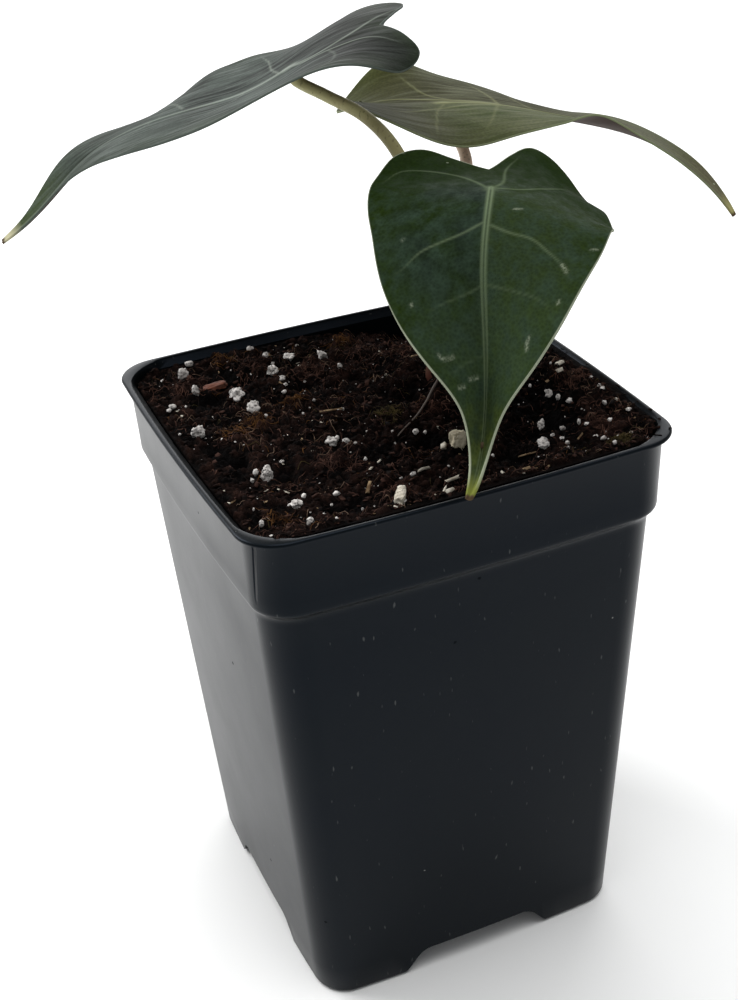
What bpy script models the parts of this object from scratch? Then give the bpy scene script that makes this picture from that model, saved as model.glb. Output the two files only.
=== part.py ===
"""A small potted alocasia: a square nursery pot, its soil and a plant of three leaves.

Lengths are in millimetres and become metres when a mesh is made. The pot stands on
Z = 0 with its open side up. The parts are placed round the pot's own centre and then
moved as one, so that the origin is the middle of the whole plant's footprint.
"""
import math

import bmesh
import bpy
import numpy as np
from mathutils import Matrix, Vector

MM = 0.001
GAP = 0.3

# The pot: a deep square nursery pot with a lipped band at the top
RIM_WIDTH = 95.0
POT_HEIGHT = 129.0
RIM_LIP = 1.6
RIM_FLARE = 1.8
BAND_DEPTH = 15.3
SHOULDER_DEPTH = 20.2
BASE_WIDTH = 76.6
WALL = 1.2
CORNER = 9.0
SIDE_BOW = 0.8

# The raised channels under the pot, which leave a foot at each corner
CHANNEL_FOOT_WIDTH = 38.0
CHANNEL_ROOF_WIDTH = 28.0
CHANNEL_HEIGHT = 6.4
SLOT_WIDTH = 9.0

# The soil's surface and the hole that the plant stands in
SOIL_BELOW_RIM = 1.9
SOIL_DISH = 1.4
SOIL_HOLLOW = (6.0, 30.0, 46.0, 17.0)
SOIL_HEAP = (2.4, 45.0, -16.0, 15.0)
STEM = (20.0, 9.0)
STEM_RADIUS = 5.0
STEM_SUNK = 9.0
STEM_RISE = 6.0

# The leaves: one outline for all, in fractions of the length from junction to tip
BLADE_THICKNESS = 0.7
RIB_THICKNESS = 1.5
BLADE_ROWS = 38
BLADE_COLUMNS = 12
HALF_OUTLINE = (
    (-0.385, 0.18), (-0.32, 0.28), (-0.12, 0.345), (0.08, 0.35),
    (0.36, 0.29), (0.60, 0.18), (0.76, 0.085), (0.89, 0.03), (1.0, 0.006),
)
HALF_WIDTH = 0.34
SINUS_BULGE = 0.62
WAVES_PER_LENGTH = 3.0

# Each leaf's posture is set at six stations along its midrib, from lobes to tip.
# heading and pitch turn the midrib, roll tilts the blade, fold lifts each half from
# the midrib and curl bends it on towards the margin, all in degrees.
STATIONS = (-0.4, 0.0, 0.25, 0.5, 0.75, 1.0)
LEAVES = {
    "left": {
        "length": 78.3,
        "junction": (-1.1, 38.1, 193.0),
        "width": (0.98, 1.08),
        "lobe": (1.01, 0.91),
        "web": 0.28,
        "heading": (294, 285, 295, 298, 283, 294),
        "pitch": (-6, 28, 12, 22, 43, 30),
        "roll": (-6, 2, 0, -1, -2, -12),
        "fold": ((-3, 2, 5, 1, 17, 18), (4, 3, 5, 1, 19, 30)),
        "curl": ((-28, 12, -4, -5, -29, -11), (-24, -13, -1, -24, -32, -3)),
        "wave": ((-0.3, 0.26), (0.7, 0.04)),
    },
    "right": {
        "length": 82.4,
        "junction": (40.2, 48.7, 176.4),
        "width": (1.02, 1.01),
        "lobe": (0.66, 0.97),
        "web": 0.25,
        "heading": (98, 95, 100, 114, 128, 140),
        "pitch": (18, 7, 16, 16, 34, 55),
        "roll": (-19, -1, -2, -2, -4, 4),
        "fold": ((-25, 0, 1, -1, 4, 14), (0, 0, 5, 6, 8, 6)),
        "curl": ((18, 15, -9, -15, -14, -14), (-21, -10, 2, 28, -7, -5)),
        "wave": ((-1.1, 0.01), (0.4, 0.07)),
    },
    "front": {
        "length": 69.2,
        "junction": (18.8, -17.8, 177.8),
        "width": (1.03, 1.0),
        "lobe": (1.19, 0.98),
        "web": 0.24,
        "heading": (197, 209, 213, 205, 216, 226),
        "pitch": (10, -4, 32, 60, 61, 14),
        "roll": (-8, -2, 4, 9, 4, 1),
        "fold": ((3, -5, -4, 20, 52, 47), (-4, -4, 2, 18, 63, 44)),
        "curl": ((-39, -21, -12, -7, -14, -4), (16, -3, -15, -15, -11, -5)),
        "wave": ((-0.9, 0.15), (-0.4, -0.03)),
    },
}

# Each petiole's route from inside the stem base towards its leaf. It ends square to
# the blade, just under the junction.
PETIOLE_RADIUS = 1.3
SHEATH_RADIUS = 3.5
SHEATH_LENGTH = 22.0
ROUTES = {
    "left": (
        (19.6, 9.3, 122.0), (19.6, 9.6, 128.0), (20.5, 12.2, 141.0), (19.0, 15.0, 160.0), (14.9, 18.2, 176.4),
        (10.4, 23.6, 183.5), (4.6, 31.2, 187.4),
    ),
    "right": (
        (20.4, 9.3, 122.0), (20.8, 9.8, 128.0), (25.5, 14.8, 141.0), (33.0, 23.5, 157.0), (38.5, 33.0, 167.0),
        (39.8, 43.0, 171.5),
    ),
    "front": (
        (20.0, 8.7, 122.0), (20.0, 8.4, 128.0), (20.8, 5.6, 143.0), (20.6, -3.0, 160.0),
        (19.6, -13.0, 171.0),
    ),
}

# Loose pieces that lie in the soil: place, half width and half height of each grain,
# and place, half sizes and turn of each chip
PERLITE = (
    (-33.3, 38.1, 1.8, 2.2), (-33.3, 28.3, 1.2, 2.2), (-25.6, 22.4, 2.4, 2.0),
    (-24.8, 14.0, 1.9, 2.1), (-39.6, 7.0, 1.8, 2.2), (-14.1, 30.6, 1.7, 1.1),
    (-8.0, 35.8, 1.7, 1.4), (-0.9, 32.9, 1.7, 1.7), (-15.2, -8.2, 1.8, 1.5),
    (-32.7, -16.8, 1.7, 2.1), (-31.9, -30.6, 1.8, 1.2), (33.2, -14.6, 1.3, 1.3),
    (25.9, -24.6, 1.1, 1.5), (21.7, -33.1, 1.3, 1.3),
)
CHIPS = {
    "cream": ((6.6, -23.9), (2.1, 1.2, 3.2), 25.0),
    "pale": ((-14.2, -41.0), (3.6, 1.5, 2.0), 62.0),
    "reddish": ((-28.2, 29.4), (3.4, 1.3, 0.9), 10.0),
}


def remove_scene_objects():
    for item in list(bpy.data.objects):
        bpy.data.objects.remove(item, do_unlink=True)


def new_collection(name):
    group = bpy.data.collections.new(name)
    bpy.context.scene.collection.children.link(group)
    return group


def plain_material(name, colour, roughness):
    """A non-metal finish with one linear colour."""
    material = bpy.data.materials.new(name)
    material.use_nodes = True
    shader = material.node_tree.nodes["Principled BSDF"]
    shader.inputs["Base Color"].default_value = (*colour, 1.0)
    shader.inputs["Roughness"].default_value = roughness
    shader.inputs["Metallic"].default_value = 0.0
    material.diffuse_color = (*colour, 1.0)
    return material


def add_object(name, mesh, material, group):
    item = bpy.data.objects.new(name, mesh)
    mesh.materials.clear()
    if material:
        mesh.materials.append(material)
    group.objects.link(item)
    return item


def mesh_from(name, bm):
    """Close a bmesh drawn in millimetres into a mesh in metres, facing out."""
    bmesh.ops.recalc_face_normals(bm, faces=bm.faces)
    bmesh.ops.scale(bm, vec=(MM, MM, MM), verts=bm.verts)
    mesh = bpy.data.meshes.new(name)
    bm.to_mesh(mesh)
    bm.free()
    return mesh


def hide_cutter(item):
    item.hide_render = True
    item.display_type = "WIRE"


def boolean(target, cutter, operation):
    modifier = target.modifiers.new(operation.title(), "BOOLEAN")
    modifier.operation = operation
    modifier.solver = "EXACT"
    modifier.object = cutter
    return modifier


def rounded_square(half, radius, bow, side_steps, corner_steps):
    """Points round a square whose corners are arcs and whose sides bow outward."""
    straight = half - radius
    points = []
    for turn in range(4):
        spin = Matrix.Rotation(math.radians(90.0 * turn), 2)
        for i in range(side_steps):
            along = -straight + 2.0 * straight * i / side_steps
            out = half + bow * (1.0 - (along / straight) ** 2)
            points.append(spin @ Vector((out, along)))
        for i in range(corner_steps):
            angle = math.radians(90.0 * i / corner_steps)
            corner = Vector((math.cos(angle), math.sin(angle))) * radius
            points.append(spin @ (Vector((straight, straight)) + corner))
    return points


def loft(sections):
    """A closed body through rings of equal count, capped at both ends."""
    bm = bmesh.new()
    rings = [[bm.verts.new(point) for point in ring] for ring in sections]
    loops = []
    for ring in rings:
        loops.append([bm.edges.new((a, b)) for a, b in zip(ring, ring[1:] + ring[:1])])
    for lower, upper in zip(loops, loops[1:]):
        bmesh.ops.bridge_loops(bm, edges=lower + upper)
    bmesh.ops.contextual_create(bm, geom=loops[0])
    bmesh.ops.contextual_create(bm, geom=loops[-1])
    return bm


def outer_half(height):
    """Half width of the pot's body at a height, below the shoulder."""
    shoulder = POT_HEIGHT - SHOULDER_DEPTH
    top = RIM_WIDTH / 2.0 - 3.3
    return BASE_WIDTH / 2.0 + (top - BASE_WIDTH / 2.0) * height / shoulder


def pot_profile():
    """Height, half width and corner radius up the outside of the pot."""
    rim = RIM_WIDTH / 2.0
    under_lip = POT_HEIGHT - RIM_LIP
    shoulder = POT_HEIGHT - SHOULDER_DEPTH
    return (
        (0.0, BASE_WIDTH / 2.0 - 0.9, CORNER - 1.6),
        (1.0, outer_half(1.0), CORNER - 0.8),
        (shoulder, outer_half(shoulder), CORNER),
        (shoulder + 1.0, outer_half(shoulder) + 0.1, CORNER),
        (POT_HEIGHT - BAND_DEPTH, rim - 2.0, CORNER - 0.5),
        (under_lip, rim - RIM_LIP, CORNER - 0.5),
        (under_lip, rim, CORNER + 0.3),
        (POT_HEIGHT - 0.4, rim, CORNER + 0.3),
        (POT_HEIGHT, rim - 0.4, CORNER),
    )


def cavity_profile(inset):
    """Height, half width and corner radius up the inside, drawn in by the inset."""
    rim = RIM_WIDTH / 2.0
    shoulder = POT_HEIGHT - SHOULDER_DEPTH
    sections = (
        (WALL + inset, outer_half(WALL), CORNER - 1.0),
        (shoulder, outer_half(shoulder), CORNER - 0.6),
        (POT_HEIGHT - BAND_DEPTH, rim - 2.0, CORNER - 1.0),
        (POT_HEIGHT - RIM_FLARE, rim - RIM_LIP, CORNER - 1.0),
        (POT_HEIGHT, rim - 0.1, CORNER + 4.0),
    )
    return [(z, half - WALL - inset, radius - inset) for z, half, radius in sections]


def ring_at(section, side_steps, corner_steps):
    height, half, radius = section
    flat = rounded_square(half, radius, SIDE_BOW, side_steps, corner_steps)
    return [Vector((point.x, point.y, height)) for point in flat]


def quarter_turn(count):
    return Matrix.Rotation(math.radians(90.0 * count), 3, "Z")


def channel_bars(name, grow, reach, base, group):
    """Two crossing bars with sloped sides, as large as the channels plus a margin."""
    narrowing = (CHANNEL_FOOT_WIDTH - CHANNEL_ROOF_WIDTH) / 2.0 / CHANNEL_HEIGHT
    sideways = grow * math.hypot(1.0, narrowing)
    top = CHANNEL_HEIGHT + grow
    foot = CHANNEL_FOOT_WIDTH / 2.0 - narrowing * base + sideways
    roof = CHANNEL_FOOT_WIDTH / 2.0 - narrowing * top + sideways
    bars = []
    for turn in range(2):
        bm = bmesh.new()
        outline = [(-foot, base), (foot, base), (roof, top), (-roof, top)]
        corners = [bm.verts.new((x, -reach, z)) for x, z in outline]
        face = bm.faces.new(corners)
        swept = bmesh.ops.extrude_face_region(bm, geom=[face])
        moved = [v for v in swept["geom"] if isinstance(v, bmesh.types.BMVert)]
        bmesh.ops.translate(bm, vec=(0.0, 2.0 * reach, 0.0), verts=moved)
        bmesh.ops.rotate(bm, matrix=quarter_turn(turn), verts=bm.verts)
        bars.append(add_object(f"{name}_{turn + 1}", mesh_from(name, bm), None, group))
    for bar in bars:
        hide_cutter(bar)
    return bars


def slot_cutters(group):
    """Two drainage slots in each channel's roof, just inside the pot's wall."""
    cutters = []
    for turn in range(4):
        for side in (-1, 1):
            bm = bmesh.new()
            bmesh.ops.create_cube(bm, size=1.0)
            bmesh.ops.scale(bm, vec=(SLOT_WIDTH, 8.0, 3.6), verts=bm.verts)
            place = (side * 0.62 * SLOT_WIDTH, 6.5 - BASE_WIDTH / 2.0, CHANNEL_HEIGHT + 0.6)
            bmesh.ops.translate(bm, vec=place, verts=bm.verts)
            bmesh.ops.rotate(bm, matrix=quarter_turn(turn), verts=bm.verts)
            name = f"slot_cutter_{turn}_{side}"
            cutters.append(add_object(name, mesh_from(name, bm), None, group))
    for cutter in cutters:
        hide_cutter(cutter)
    return cutters


def build_pot(parts, cutters):
    """The thin plastic vessel, with its floor lifted over two crossing channels."""
    rings = [ring_at(section, 6, 6) for section in pot_profile()]
    rings += [ring_at(section, 6, 6) for section in reversed(cavity_profile(0.0))]
    plastic = plain_material("pot_plastic", (0.017, 0.021, 0.026), 0.42)
    pot = add_object("pot", mesh_from("pot", loft(rings)), plastic, parts)
    for bar in channel_bars("channel_skin", WALL, BASE_WIDTH / 2.0 - 0.6, 0.4, cutters):
        boolean(pot, bar, "UNION")
    for bar in channel_bars("channel_cut", 0.0, BASE_WIDTH, -2.0, cutters):
        boolean(pot, bar, "DIFFERENCE")
    for cutter in slot_cutters(cutters):
        boolean(pot, cutter, "DIFFERENCE")
    return pot


def soil_lumps():
    """Seeded lumps of potting mix: place, reach and height."""
    draw = np.random.default_rng(11)
    count = 170
    place = draw.uniform(-45.0, 45.0, (count, 2))
    reach = draw.uniform(2.2, 6.0, count)
    lift = draw.uniform(-1.1, 1.5, count) * (reach / 6.0) ** 0.5
    return place, reach, lift


LUMPS = soil_lumps()


def soil_height(x, y):
    """Height of the soil: a shallow dish with a hollow at the back and one heaped side."""
    place, reach, lift = LUMPS
    edge = max(abs(x), abs(y)) / 44.0
    level = POT_HEIGHT - SOIL_BELOW_RIM - SOIL_DISH * max(0.0, 1.0 - edge ** 2)
    for (depth, across, along, spread), sign in ((SOIL_HOLLOW, -1.0), (SOIL_HEAP, 1.0)):
        away = (x - across) ** 2 + (y - along) ** 2
        level += sign * depth * math.exp(-away / spread ** 2)
    stem = math.hypot(x - STEM[0], y - STEM[1])
    level += 1.2 * math.exp(-((stem / 11.0) ** 2))
    away = ((place - (x, y)) ** 2).sum(axis=1)
    lumps = float((lift * np.exp(-away / (reach * 0.6) ** 2)).sum())
    calm = min(1.0, max(0.3, (1.0 - edge) * 6.0))
    return level + lumps * calm


def soil_body():
    """The potting mix as one lofted body whose top rings follow the soil's height."""
    side_steps, corner_steps, top_rings = 15, 5, 17
    walls = cavity_profile(GAP)
    rings = [ring_at(section, side_steps, corner_steps) for section in walls[:3]]
    collar = ring_at((0.0, walls[2][1] + 0.15, walls[2][2]), side_steps, corner_steps)
    brim = ring_at((0.0, walls[4][1] - 0.1, walls[4][2]), side_steps, corner_steps)
    flare_foot = POT_HEIGHT - RIM_FLARE
    edge = []
    for low, high in zip(collar, brim):
        level = soil_height(low.x, low.y)
        climb = (level - flare_foot) / RIM_FLARE
        edge.append(low.lerp(high, min(1.0, max(0.0, climb))))
        low.z = min(level, flare_foot) - 0.4
    rings.append(collar)
    for i in range(top_rings):
        inward = 1.0 - i / top_rings
        ring = []
        for point in edge:
            x, y = point.x * inward, point.y * inward
            ring.append(Vector((x, y, soil_height(x, y))))
        rings.append(ring)
    return loft(rings)


def build_soil(parts, cutters, pieces):
    """Soil that fills the pot, cut for the channels, the stem and the loose pieces."""
    mix = plain_material("potting_mix", (0.030, 0.018, 0.012), 0.95)
    soil = add_object("soil", mesh_from("soil", soil_body()), mix, parts)
    for bar in channel_bars("soil_channel", WALL + GAP, BASE_WIDTH, -2.0, cutters):
        boolean(soil, bar, "DIFFERENCE")
    floor = soil_height(*STEM) - STEM_SUNK - GAP
    bm = bmesh.new()
    radius = STEM_RADIUS + GAP
    bmesh.ops.create_cone(bm, cap_ends=True, segments=20, radius1=radius, radius2=radius, depth=40.0)
    bmesh.ops.translate(bm, vec=(*STEM, floor + 20.0), verts=bm.verts)
    hole = add_object("stem_hole", mesh_from("stem_hole", bm), None, cutters)
    hide_cutter(hole)
    boolean(soil, hole, "DIFFERENCE")
    for piece in pieces:
        hide_cutter(piece)
        boolean(soil, piece, "DIFFERENCE")
    return soil


def lump_mesh(name, place, half, turn, grow, seed):
    """A rough pebble that rests a little sunk in the soil."""
    draw = np.random.default_rng(seed)
    bm = bmesh.new()
    bmesh.ops.create_icosphere(bm, subdivisions=2, radius=1.0)
    for vertex in bm.verts:
        rough = 1.0 + draw.uniform(-0.13, 0.13)
        vertex.co = Vector([vertex.co[k] * (half[k] * rough + grow) for k in range(3)])
    bmesh.ops.rotate(bm, matrix=Matrix.Rotation(math.radians(turn), 3, "Z"), verts=bm.verts)
    height = soil_height(*place) + 0.45 * half[2]
    bmesh.ops.translate(bm, vec=(*place, height), verts=bm.verts)
    return mesh_from(name, bm)


def build_loose_pieces(parts, cutters):
    """Perlite grains and wood chips, with a slightly larger copy of each as its seat."""
    perlite = plain_material("perlite", (0.62, 0.62, 0.60), 0.9)
    wood = plain_material("wood_chip", (0.42, 0.35, 0.26), 0.85)
    pieces = []
    for number, (x, y, width, height) in enumerate(PERLITE, 1):
        name = f"perlite_{number:02d}"
        pieces.append((name, (x, y), (width, width * 0.85, height), 37.0 * number, perlite))
    for name, (place, half, turn) in CHIPS.items():
        pieces.append((f"chip_{name}", place, half, turn, wood))
    seats = []
    for seed, (name, place, half, turn, material) in enumerate(pieces):
        add_object(name, lump_mesh(name, place, half, turn, 0.0, seed), material, parts)
        seat = lump_mesh(f"{name}_seat", place, half, turn, GAP * 1.2, seed)
        seats.append(add_object(f"{name}_seat", seat, None, cutters))
    return seats


def smooth(stations, values, at):
    """A smooth reading between stations, through each one's value."""
    x = np.asarray(stations, float)
    y = np.asarray(values, float)
    step = np.diff(x)
    slope = np.diff(y) / step
    inner = (slope[:-1] * step[1:] + slope[1:] * step[:-1]) / (step[:-1] + step[1:])
    tangent = np.concatenate([slope[:1], inner, slope[-1:]])
    k = np.clip(np.searchsorted(x, at) - 1, 0, len(step) - 1)
    t = np.clip((at - x[k]) / step[k], 0.0, 1.0)
    ease = t * t * (3.0 - 2.0 * t)
    lean = tangent[k] * t * (1.0 - t) ** 2 - tangent[k + 1] * t * t * (1.0 - t)
    return y[k] + (y[k + 1] - y[k]) * ease + lean * step[k]


def smooth_route(points, count):
    """Evenly spaced places along a smooth curve through the points, and its length."""
    knots = np.array([tuple(p) for p in points])
    pace = np.sqrt(np.linalg.norm(np.diff(knots, axis=0), axis=1))
    stations = np.concatenate([[0.0], np.cumsum(pace)])
    at = np.linspace(0.0, stations[-1], 400)
    dense = np.stack([smooth(stations, knots[:, k], at) for k in range(3)], 1)
    reach = np.concatenate([[0.0], np.cumsum(np.linalg.norm(np.diff(dense, axis=0), axis=1))])
    wanted = np.linspace(0.0, reach[-1], count)
    columns = [np.interp(wanted, reach, dense[:, k]) for k in range(3)]
    return [Vector(p) for p in zip(*columns)], reach[-1]


def tube(name, points, radii, group):
    """A round tube of changing radius, as a capped curve."""
    curve = bpy.data.curves.new(name, "CURVE")
    curve.dimensions = "3D"
    curve.bevel_depth = MM
    curve.bevel_resolution = 2
    curve.use_fill_caps = True
    spline = curve.splines.new("POLY")
    spline.points.add(len(points) - 1)
    for knot, point, radius in zip(spline.points, points, radii):
        knot.co = (*(point * MM), 1.0)
        knot.radius = radius
    item = bpy.data.objects.new(name, curve)
    group.objects.link(item)
    return item


def as_mesh_object(item, group):
    """Swap a curve for the same shape as a mesh, with its caps welded."""
    name = item.name
    depsgraph = bpy.context.evaluated_depsgraph_get()
    mesh = bpy.data.meshes.new_from_object(item.evaluated_get(depsgraph))
    bm = bmesh.new()
    bm.from_mesh(mesh)
    bmesh.ops.remove_doubles(bm, verts=bm.verts, dist=1e-6)
    bmesh.ops.recalc_face_normals(bm, faces=bm.faces)
    bm.to_mesh(mesh)
    bm.free()
    placed = item.matrix_world.copy()
    bpy.data.objects.remove(item, do_unlink=True)
    solid = bpy.data.objects.new(name, mesh)
    solid.matrix_world = placed
    group.objects.link(solid)
    return solid


def along_midrib(values, u):
    """A reading of six station values at any place along the midrib."""
    return smooth(STATIONS, values, u)


def half_outline(leaf, side):
    """The margin from the notch round the lobe to the tip, in fractions of the length."""
    lobe_end = HALF_OUTLINE[0][0] * leaf["lobe"][side]
    sinus = (-leaf["web"] + SINUS_BULGE * (lobe_end + leaf["web"]), HALF_OUTLINE[0][1] / 2.0, 0.0)
    points = [(-leaf["web"], 0.0, 0.0), sinus]
    for u, v in HALF_OUTLINE:
        reach = leaf["lobe"][side] if u < 0.0 else 1.0
        points.append((u * reach, v * leaf["width"][side], 0.0))
    curve, _ = smooth_route(points, 120)
    return np.array([(point.x, point.y) for point in curve])


def midrib(leaf):
    """Places along the midrib, found by following its heading and pitch."""
    u = np.linspace(-0.5, 1.0, 301)
    heading = np.radians(along_midrib(leaf["heading"], u))
    pitch = np.radians(along_midrib(leaf["pitch"], u))
    level = np.cos(pitch)
    ahead = np.stack([level * np.sin(heading), level * np.cos(heading), -np.sin(pitch)], 1)
    step = (u[1] - u[0]) * leaf["length"]
    walked = np.cumsum((ahead[1:] + ahead[:-1]) / 2.0 * step, axis=0)
    places = np.concatenate([np.zeros((1, 3)), walked])
    zero = [np.interp(0.0, u, places[:, k]) for k in range(3)]
    return u, places - zero + np.array(leaf["junction"])


def blade_point(leaf, line, u, v):
    """Bend one flat leaf point (along, across) into place; v is negative to the left."""
    side = 0 if v < 0.0 else 1
    places, route = line
    base = np.array([np.interp(u, places, route[:, k]) for k in range(3)])
    angles = [math.radians(along_midrib(leaf[key], u)) for key in ("heading", "pitch", "roll")]
    heading, pitch, roll = angles
    level = math.cos(pitch)
    ahead = np.array([level * math.sin(heading), level * math.cos(heading), -math.sin(pitch)])
    right = np.array([math.cos(heading), -math.sin(heading), 0.0])
    up = np.cross(right, ahead)
    across = right * math.cos(roll) - up * math.sin(roll)
    normal = right * math.sin(roll) + up * math.cos(roll)
    span = abs(v) * leaf["length"]
    curl = along_midrib(leaf["curl"][side], u)
    bend = math.radians(curl) * abs(v) / HALF_WIDTH / 2.0
    chord = span * float(np.sinc(bend / math.pi))
    angle = math.radians(along_midrib(leaf["fold"][side], u)) + bend
    height, phase = leaf["wave"][side]
    near_edge = min(abs(v) / HALF_WIDTH, 1.2) ** 2
    ripple = height * near_edge * math.sin(2.0 * math.pi * (WAVES_PER_LENGTH * u + phase))
    out = math.copysign(chord * math.cos(angle), v)
    return base + across * out + normal * (chord * math.sin(angle) + ripple)


def blade_flat(leaf, margins, s, t):
    """Flat place of a grid point: rows fan out from the notch and run on to the tip."""
    side = 0 if t < 0.0 else 1
    margin = margins[side]
    order = np.linspace(0.0, 1.0, len(margin))
    edge_u = np.interp(s, order, margin[:, 0])
    edge_v = np.interp(s, order, margin[:, 1])
    middle = -leaf["web"] + (1.0 + leaf["web"]) * s ** 1.5
    u = middle + (edge_u - middle) * abs(t) ** 1.15
    return u, edge_v * t


def build_blade(side, parts):
    """One leaf blade: a waved sheet with its margins bent, thicker along the ribs."""
    leaf = LEAVES[side]
    margins = (half_outline(leaf, 0), half_outline(leaf, 1))
    line = midrib(leaf)
    bm = bmesh.new()
    bmesh.ops.create_grid(bm, x_segments=BLADE_ROWS, y_segments=BLADE_COLUMNS, size=1.0)
    ribs = bm.verts.layers.deform.verify()
    for vertex in bm.verts:
        s, t = (vertex.co.x + 1.0) / 2.0, vertex.co.y
        u, v = blade_flat(leaf, margins, s, t)
        vertex.co = blade_point(leaf, line, u, v)
        rib = math.exp(-((v * leaf["length"] / 1.6) ** 2)) * (1.0 - 0.85 * min(max(u, 0.0), 1.0))
        vertex[ribs][0] = max(0.0, min(1.0, rib))
    bmesh.ops.remove_doubles(bm, verts=bm.verts, dist=0.001)
    bmesh.ops.triangulate(bm, faces=bm.faces)
    bmesh.ops.recalc_face_normals(bm, faces=bm.faces)
    top = max(bm.faces, key=lambda face: face.calc_area())
    if top.normal.z < 0.0:
        bmesh.ops.reverse_faces(bm, faces=bm.faces)
    bmesh.ops.scale(bm, vec=(MM, MM, MM), verts=bm.verts)
    mesh = bpy.data.meshes.new(f"leaf_{side}")
    bm.to_mesh(mesh)
    bm.free()
    green = plain_material(f"blade_{side}", (0.028, 0.055, 0.026), 0.45)
    blade = add_object(f"leaf_{side}", mesh, green, parts)
    blade.vertex_groups.new(name="rib")
    thicken = blade.modifiers.new("Thickness", "SOLIDIFY")
    thicken.thickness = RIB_THICKNESS * MM
    thicken.offset = -1.0
    thicken.vertex_group = "rib"
    thicken.thickness_vertex_group = BLADE_THICKNESS / RIB_THICKNESS
    return blade


def route_to_blade(side):
    """A petiole's route, ended square to the underside of its blade."""
    leaf = LEAVES[side]
    line = midrib(leaf)
    ahead = blade_point(leaf, line, 0.03, 0.0) - blade_point(leaf, line, -0.03, 0.0)
    across = blade_point(leaf, line, 0.0, 0.02) - blade_point(leaf, line, 0.0, -0.02)
    normal = Vector(np.cross(across, ahead)).normalized()
    end = Vector(leaf["junction"]) - normal * (RIB_THICKNESS + 1.4 * GAP)
    return [*ROUTES[side], end - normal * 3.0, end]


def build_stalks(parts, cutters):
    """The stem base with its three sheaths, and the petioles that rise from them."""
    brown = plain_material("sheath", (0.16, 0.07, 0.045), 0.6)
    olive = plain_material("petiole", (0.24, 0.20, 0.11), 0.5)
    bottom = soil_height(*STEM) - STEM_SUNK
    bm = bmesh.new()
    height = STEM_SUNK + STEM_RISE
    bmesh.ops.create_cone(bm, cap_ends=True, segments=20, radius1=STEM_RADIUS, radius2=3.2, depth=height)
    bmesh.ops.translate(bm, vec=(*STEM, bottom + height / 2.0), verts=bm.verts)
    stem = add_object("stem_base", mesh_from("stem_base", bm), brown, parts)
    for side in ROUTES:
        points, length = smooth_route(route_to_blade(side), 40)
        reach = [length * i / (len(points) - 1) for i in range(len(points))]
        low = [p for p, along in zip(points, reach) if along <= SHEATH_LENGTH]
        taper = np.linspace(SHEATH_RADIUS, PETIOLE_RADIUS * 1.3, len(low))
        sheath = as_mesh_object(tube(f"sheath_{side}", low, taper, cutters), cutters)
        hide_cutter(sheath)
        boolean(stem, sheath, "UNION")
        high = points[len(low):]
        start = low[-1] + (high[0] - low[-1]).normalized() * GAP
        slim = np.linspace(PETIOLE_RADIUS * 1.15, PETIOLE_RADIUS, len(high) + 1)
        petiole = as_mesh_object(tube(f"petiole_{side}", [start] + high, slim, parts), parts)
        petiole.data.materials.append(olive)
    return stem


def centre_on_origin(parts):
    """Hang every part on one empty and move it so the footprint is centred."""
    bpy.context.view_layer.update()
    depsgraph = bpy.context.evaluated_depsgraph_get()
    corners = []
    for item in parts.objects:
        seen = item.evaluated_get(depsgraph)
        mesh = seen.to_mesh()
        corners += [seen.matrix_world @ v.co for v in mesh.vertices]
        seen.to_mesh_clear()
    low = [min(c[k] for c in corners) for k in range(2)]
    high = [max(c[k] for c in corners) for k in range(2)]
    handle = bpy.data.objects.new("plant_origin", None)
    parts.objects.link(handle)
    for item in parts.objects:
        if item is not handle:
            item.parent = handle
    return handle, [-(a + b) / 2.0 for a, b in zip(low, high)]


def main():
    remove_scene_objects()
    parts = new_collection("potted_bambino_alocasia")
    cutters = new_collection("cutters")
    build_pot(parts, cutters)
    seats = build_loose_pieces(parts, cutters)
    build_soil(parts, cutters, seats)
    build_stalks(parts, cutters)
    for side in LEAVES:
        build_blade(side, parts)
    handle, shift = centre_on_origin(parts)
    for item in cutters.objects:
        item.parent = handle
    handle.location = (shift[0], shift[1], 0.0)
    bpy.context.view_layer.update()


main()
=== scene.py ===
"""A young bambino alocasia in a square nursery pot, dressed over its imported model."""
import math

import bmesh
import bpy
import numpy as np
from mathutils import Matrix, Vector, noise


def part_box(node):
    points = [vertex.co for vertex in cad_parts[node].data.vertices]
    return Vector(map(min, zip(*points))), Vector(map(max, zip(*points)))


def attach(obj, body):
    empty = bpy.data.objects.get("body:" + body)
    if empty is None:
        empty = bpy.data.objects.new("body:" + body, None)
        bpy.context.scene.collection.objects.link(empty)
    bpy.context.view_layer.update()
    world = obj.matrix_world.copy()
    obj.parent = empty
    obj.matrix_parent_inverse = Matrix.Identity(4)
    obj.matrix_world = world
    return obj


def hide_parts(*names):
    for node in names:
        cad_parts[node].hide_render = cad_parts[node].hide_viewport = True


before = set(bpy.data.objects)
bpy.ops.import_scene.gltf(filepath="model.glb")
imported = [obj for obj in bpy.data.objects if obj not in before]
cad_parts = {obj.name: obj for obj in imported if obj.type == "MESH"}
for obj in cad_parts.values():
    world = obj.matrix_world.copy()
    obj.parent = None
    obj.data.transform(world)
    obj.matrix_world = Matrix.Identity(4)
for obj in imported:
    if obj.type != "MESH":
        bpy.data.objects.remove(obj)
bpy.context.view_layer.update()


# The camera
# It stands a little left of the pot's front side and looks down on the plant, as the
# photograph does. Every place below is in millimetres from the middle of the pot.
pot_low, pot_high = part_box("pot")
POT_CENTRE = Vector(((pot_low[0] + pot_high[0]) / 2.0, (pot_low[1] + pot_high[1]) / 2.0, 0.0))
MM = 0.001
VIEW_AZIMUTH = math.radians(-21.57)
VIEW_HEIGHT = math.radians(29.5)
VIEW_ROLL = math.radians(-3.97)
VIEW_DISTANCE = 439.3
VIEW_TARGET = Vector((26.7, 78.7, 57.0))


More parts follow.
